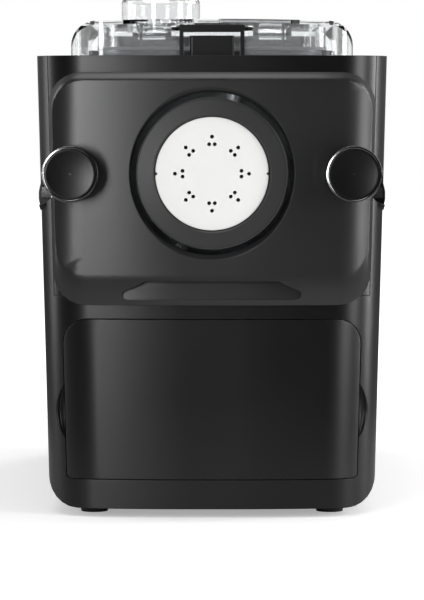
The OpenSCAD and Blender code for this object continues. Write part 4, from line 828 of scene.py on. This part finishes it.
class PASTA_OT_front_panel(PieceOperator, bpy.types.Operator):
    """Finishes the front panel, its knobs and clamps"""
    bl_idname = "pasta_maker.front_panel"
    bl_label = "Front panel and knobs"
    bowed_nodes = ("front_panel",)
    crown = {"left": -3.6, "right": 0.0, "rise": 0.045}
    smooth_nodes = ("left_knob", "right_knob")
    plain_nodes = ("left_bezel", "right_bezel", "left_clamp_screw", "right_clamp_screw",
                   "clamp_blocks")

    def extras(self, context):
        grip_floor()


# Fine forms round the shaping disc as radius and depth in millimetres: the middle and thickness of
# the bead on the ring's edge, a near-black ring of painted shade in the gap between disc and ring,
# and near-black dots of painted shade in the notches, which lie this far out
RING_BEAD = {"radius": 44.25, "depth": 0.75, "thick": 0.45}
DISC_GAP_SHADE = ((33.38, 0.24), (33.99, 0.62))
DISC_NOTCH_SHADE = ((0.0, -0.03), (0.62, -0.03), (0.72, 0.02))
NOTCH_OUT = 32.75


class PASTA_OT_extruder(PieceOperator, bpy.types.Operator):
    """Finishes the shaping disc, ring, tube, screw, paddle and mixing chamber"""
    bl_idname = "pasta_maker.extruder"
    bl_label = "Extruder and chamber"
    plain_nodes = ("shaping_disc", "retaining_ring", "extrusion_tube", "tube_seal",
                   "extrusion_screw", "mixing_paddle", "mixing_chamber")

    def extras(self, context):
        bead = [(RING_BEAD["radius"] + RING_BEAD["thick"] * math.cos(math.radians(turn)),
                 RING_BEAD["depth"] - RING_BEAD["thick"] * math.sin(math.radians(turn)))
                for turn in range(-30, 211, 30)]
        turned_piece("ring_bead", "retaining_ring", bead, "ring_plastic")
        # A thin near-black ring of painted shade, in the foot rubber finish, in the gap round the disc
        turned_piece("disc_gap_shade", "shaping_disc", DISC_GAP_SHADE, "foot_rubber")
        # Two near-black dots of painted shade, in the foot rubber finish, in the disc's notches
        turned_piece("disc_notch_shade", "shaping_disc", DISC_NOTCH_SHADE, "foot_rubber",
                     ((-NOTCH_OUT, 0.0), (NOTCH_OUT, 0.0)), 16)


class PASTA_OT_drawer(PieceOperator, bpy.types.Operator):
    """Finishes the drawer, its runners and the spare discs in it"""
    bl_idname = "pasta_maker.drawer"
    bl_label = "Drawer"
    bowed_nodes = ("drawer_front",)
    crown = {"left": 6.0, "right": 6.0, "rise": 0.0}
    plain_nodes = ("drawer_tray", "drawer_runners", "fine_noodle_disc", "flat_noodle_disc",
                   "tube_pasta_disc")


class PASTA_OT_lid(PieceOperator, bpy.types.Operator):
    """Finishes the lid, its skirt, seal, hinge, latch and measuring cap"""
    bl_idname = "pasta_maker.lid"
    bl_label = "Lid and cap"
    plain_nodes = ("lid_cover", "lid_skirt", "lid_latch", "latch_block", "lid_seal",
                   "lid_hinge_pins", "lid_switch")

    def extras(self, context):
        coated("measuring_cap", "cap_plastic")


class PASTA_OT_console(PieceOperator, bpy.types.Operator):
    """Finishes the console, its window, board, keys and start button"""
    bl_idname = "pasta_maker.console"
    bl_label = "Control console"
    plain_nodes = ("control_console", "display_window", "control_board", "start_button",
                   "mode_key", "weight_key", "minus_key", "plus_key")

    def extras(self, context):
        height = context.scene.pasta_maker_edges.mark
        bar = [(-2.3, 0), (2.3, 0)]
        raised_mark("minus_key", [bar], height)
        raised_mark("plus_key", [bar, [(0, -2.3), (0, 2.3)]], height)
        raised_mark("mode_key", [[(-2.4, y), (2.4, y)] for y in (-1.9, 0, 1.9)], height, 0.8)
        raised_mark("weight_key", [[(-2.6, -2.1), (2.6, -2.1)], [(-1.6, 1.0), (1.6, 1.0)],
                                   [(-2.6, -2.1), (-1.6, 1.0)], [(2.6, -2.1), (1.6, 1.0)],
                                   [(0, 1.2), (0, 2.4)]], height, 0.7)
        ring = [(3.4 * math.sin(math.radians(turn)), 3.4 * math.cos(math.radians(turn)))
                for turn in range(40, 321, 14)]
        raised_mark("start_button", [ring, [(0, 1.2), (0, 4.2)]], height, 1.1, "housing_plastic")


class PASTA_OT_drive(PieceOperator, bpy.types.Operator):
    """Finishes the frame, gearbox, motor, fan and power board inside"""
    bl_idname = "pasta_maker.drive"
    bl_label = "Frame and drive"
    plain_nodes = ("chassis_frame", "chassis_screws", "gearbox_housing", "gearbox_cover",
                   "gearbox_screws", "output_shaft", "output_bushes", "output_gear",
                   "intermediate_pin", "intermediate_gear", "motor_can", "motor_end_cap",
                   "motor_rotor", "cooling_fan", "power_board")


# ---- Stage ---------------------------------------------------------------------------------------

# What the lamps aim at, in metres
LAMP_AIM = Vector((0.0, -0.1, 0.2))


def area_lamp(name, azimuth, height, distance, size, power):
    """A rectangular softbox: degrees to the right of front, degrees up, metres away and across."""
    turn, rise = math.radians(azimuth), math.radians(height)
    away = Vector((math.sin(turn) * math.cos(rise), -math.cos(turn) * math.cos(rise), math.sin(rise)))
    lamp = bpy.data.lights.new(name, "AREA")
    lamp.shape = "RECTANGLE"
    lamp.size, lamp.size_y = size
    lamp.energy = power
    holder = bpy.data.objects.new(name, lamp)
    holder.location = LAMP_AIM + away * distance
    holder.rotation_euler = away.to_track_quat("Z", "Y").to_euler()
    bpy.context.scene.collection.objects.link(holder)


def build_world(scene):
    """White to the camera and through clear parts; as light, an even room with a pale far side."""
    world = bpy.data.worlds.new("Studio")
    scene.world = world
    world.use_nodes = True
    tree = world.node_tree
    path = add(tree, "ShaderNodeLightPath").outputs
    direction = add(tree, "ShaderNodeTexCoord").outputs["Generated"]
    behind = add(tree, "ShaderNodeSeparateXYZ", {0: direction}).outputs[1]
    far_side = spread(tree, behind, -0.25, 0.5, 0.0, 0.3)
    seen = maths(tree, "MAXIMUM", path["Is Camera Ray"], path["Is Transmission Ray"])
    mirrored = maths(tree, "MULTIPLY", path["Is Glossy Ray"], far_side)
    even = maths(tree, "MULTIPLY", path["Is Diffuse Ray"], scene.pasta_maker_studio.room)
    light = maths(tree, "MAXIMUM", seen, maths(tree, "MAXIMUM", mirrored, even))
    background = tree.nodes["Background"].inputs
    tree.links.new(light, background["Strength"])
    background["Color"].default_value = (1, 1, 1, 1)


# The floor: half its side in metres, and how its tone and glow change with the distance in metres
# from the object's middle. Its own reflection in the casing is kept dim.
FLOOR = {"half": 6.0, "dim_from": 0.32, "dim_to": 0.44, "dim_near": -0.4, "dim_far": -0.87,
         "glow_from": 0.3, "glow_to": 1.0, "glow_near": 0.36, "glow_far": 1.0}


def build_floor():
    """A pale floor that keeps the soft shadow and fades to white."""
    shape = bmesh.new()
    bmesh.ops.create_grid(shape, x_segments=2, y_segments=2, size=FLOOR["half"])
    mesh = bpy.data.meshes.new("Floor")
    shape.to_mesh(mesh)
    shape.free()
    floor = bpy.data.objects.new("Floor", mesh)
    bpy.context.scene.collection.objects.link(floor)
    material, tree, shader = empty_material("Pale floor")
    place = add(tree, "ShaderNodeTexCoord").outputs["Object"]
    path = add(tree, "ShaderNodeLightPath").outputs
    away = add(tree, "ShaderNodeVectorMath", {0: place}, operation="LENGTH").outputs["Value"]
    dimmed = spread(tree, away, FLOOR["dim_from"], FLOOR["dim_to"], FLOOR["dim_near"], FLOOR["dim_far"])
    mirrored = maths(tree, "MULTIPLY_ADD", path["Is Glossy Ray"], dimmed, 1.0)
    pale = spread(tree, noise(tree, place, 1.5, 3.0), 0.3, 0.7, 0.86, 0.90)
    tone = maths(tree, "MULTIPLY", pale, mirrored)
    tree.links.new(add(tree, "ShaderNodeCombineColor", {0: tone, 1: tone, 2: tone}).outputs[0],
                   shader.inputs["Base Color"])
    shader.inputs["Roughness"].default_value = 0.9
    shader.inputs["Specular IOR Level"].default_value = 0.1
    glow = spread(tree, away, FLOOR["glow_from"], FLOOR["glow_to"], FLOOR["glow_near"],
                  FLOOR["glow_far"])
    tree.links.new(maths(tree, "MULTIPLY", glow, path["Is Camera Ray"]),
                   shader.inputs["Emission Strength"])
    shader.inputs["Emission Color"].default_value = (1, 1, 1, 1)
    mesh.materials.append(material)


def place_camera(scene, studio):
    """The camera in front of the object, looking slightly down."""
    sensor_height = 36.0
    camera = bpy.data.cameras.new("Camera")
    camera.sensor_fit = "VERTICAL"
    camera.sensor_height = sensor_height
    camera.lens = studio.focal_share * sensor_height
    camera.clip_end = 50.0
    holder = bpy.data.objects.new("Camera", camera)
    holder.location = (0.0, studio.camera_y, studio.camera_z)
    holder.rotation_euler = (math.pi / 2 - studio.tilt, 0.0, 0.0)
    scene.collection.objects.link(holder)
    scene.camera = holder


class PASTA_OT_stage(bpy.types.Operator):
    """Builds the floor, the lamps and the camera"""
    bl_idname = "pasta_maker.stage"
    bl_label = "Studio"

    def execute(self, context):
        scene = context.scene
        studio = scene.pasta_maker_studio
        scene.view_settings.view_transform = "Standard"
        build_world(scene)
        build_floor()
        area_lamp("Key softbox", -22, 7, 1.7, (0.34, 0.8), studio.key)
        area_lamp("Side strip", 62, 10, 1.3, (0.4, 1.0), studio.side)
        area_lamp("Right rim strip", 100, 10, 1.3, (0.3, 1.0), studio.rim)
        area_lamp("Left rim strip", -105, 10, 1.3, (0.35, 1.0), studio.rim * 0.45)
        area_lamp("Top softbox", -70, 81, 1.5, (1.1, 1.1), studio.top)
        area_lamp("Back softbox", 155, 30, 1.9, (0.7, 0.8), studio.rim * 0.8)
        place_camera(scene, studio)
        return {"FINISHED"}


OPERATORS = (PASTA_OT_finishes, PASTA_OT_housing, PASTA_OT_front_panel, PASTA_OT_extruder,
             PASTA_OT_drawer, PASTA_OT_lid, PASTA_OT_console, PASTA_OT_drive, PASTA_OT_stage)


class PASTA_PT_sidebar(bpy.types.Panel):
    """Lists the settings and the operators of the pasta maker"""
    bl_idname = "PASTA_PT_sidebar"
    bl_label = "Electric Pasta Maker"
    bl_space_type = "VIEW_3D"
    bl_region_type = "UI"
    bl_category = "Pasta Maker"

    def draw(self, context):
        layout = self.layout
        for group in ("pasta_maker_plastics", "pasta_maker_edges", "pasta_maker_studio"):
            settings = getattr(context.scene, group)
            box = layout.box()
            for name in settings.__annotations__:
                box.prop(settings, name)
        for operator in OPERATORS:
            layout.operator(operator.bl_idname)


CLASSES = (PastaMakerPlastics, PastaMakerEdges, PastaMakerStudio, *OPERATORS, PASTA_PT_sidebar)


def register():
    """Registers the classes and hangs the settings on the scene."""
    for cls in CLASSES:
        bpy.utils.register_class(cls)
    bpy.types.Scene.pasta_maker_plastics = PointerProperty(type=PastaMakerPlastics)
    bpy.types.Scene.pasta_maker_edges = PointerProperty(type=PastaMakerEdges)
    bpy.types.Scene.pasta_maker_studio = PointerProperty(type=PastaMakerStudio)


def unregister():
    """Takes the settings and the classes away again."""
    del bpy.types.Scene.pasta_maker_plastics
    del bpy.types.Scene.pasta_maker_edges
    del bpy.types.Scene.pasta_maker_studio
    for cls in reversed(CLASSES):
        bpy.utils.unregister_class(cls)


def main():
    """Builds the whole scene."""
    register()
    for operator in OPERATORS:
        group, name = operator.bl_idname.split(".")
        getattr(getattr(bpy.ops, group), name)()


if __name__ == "__main__":
    main()
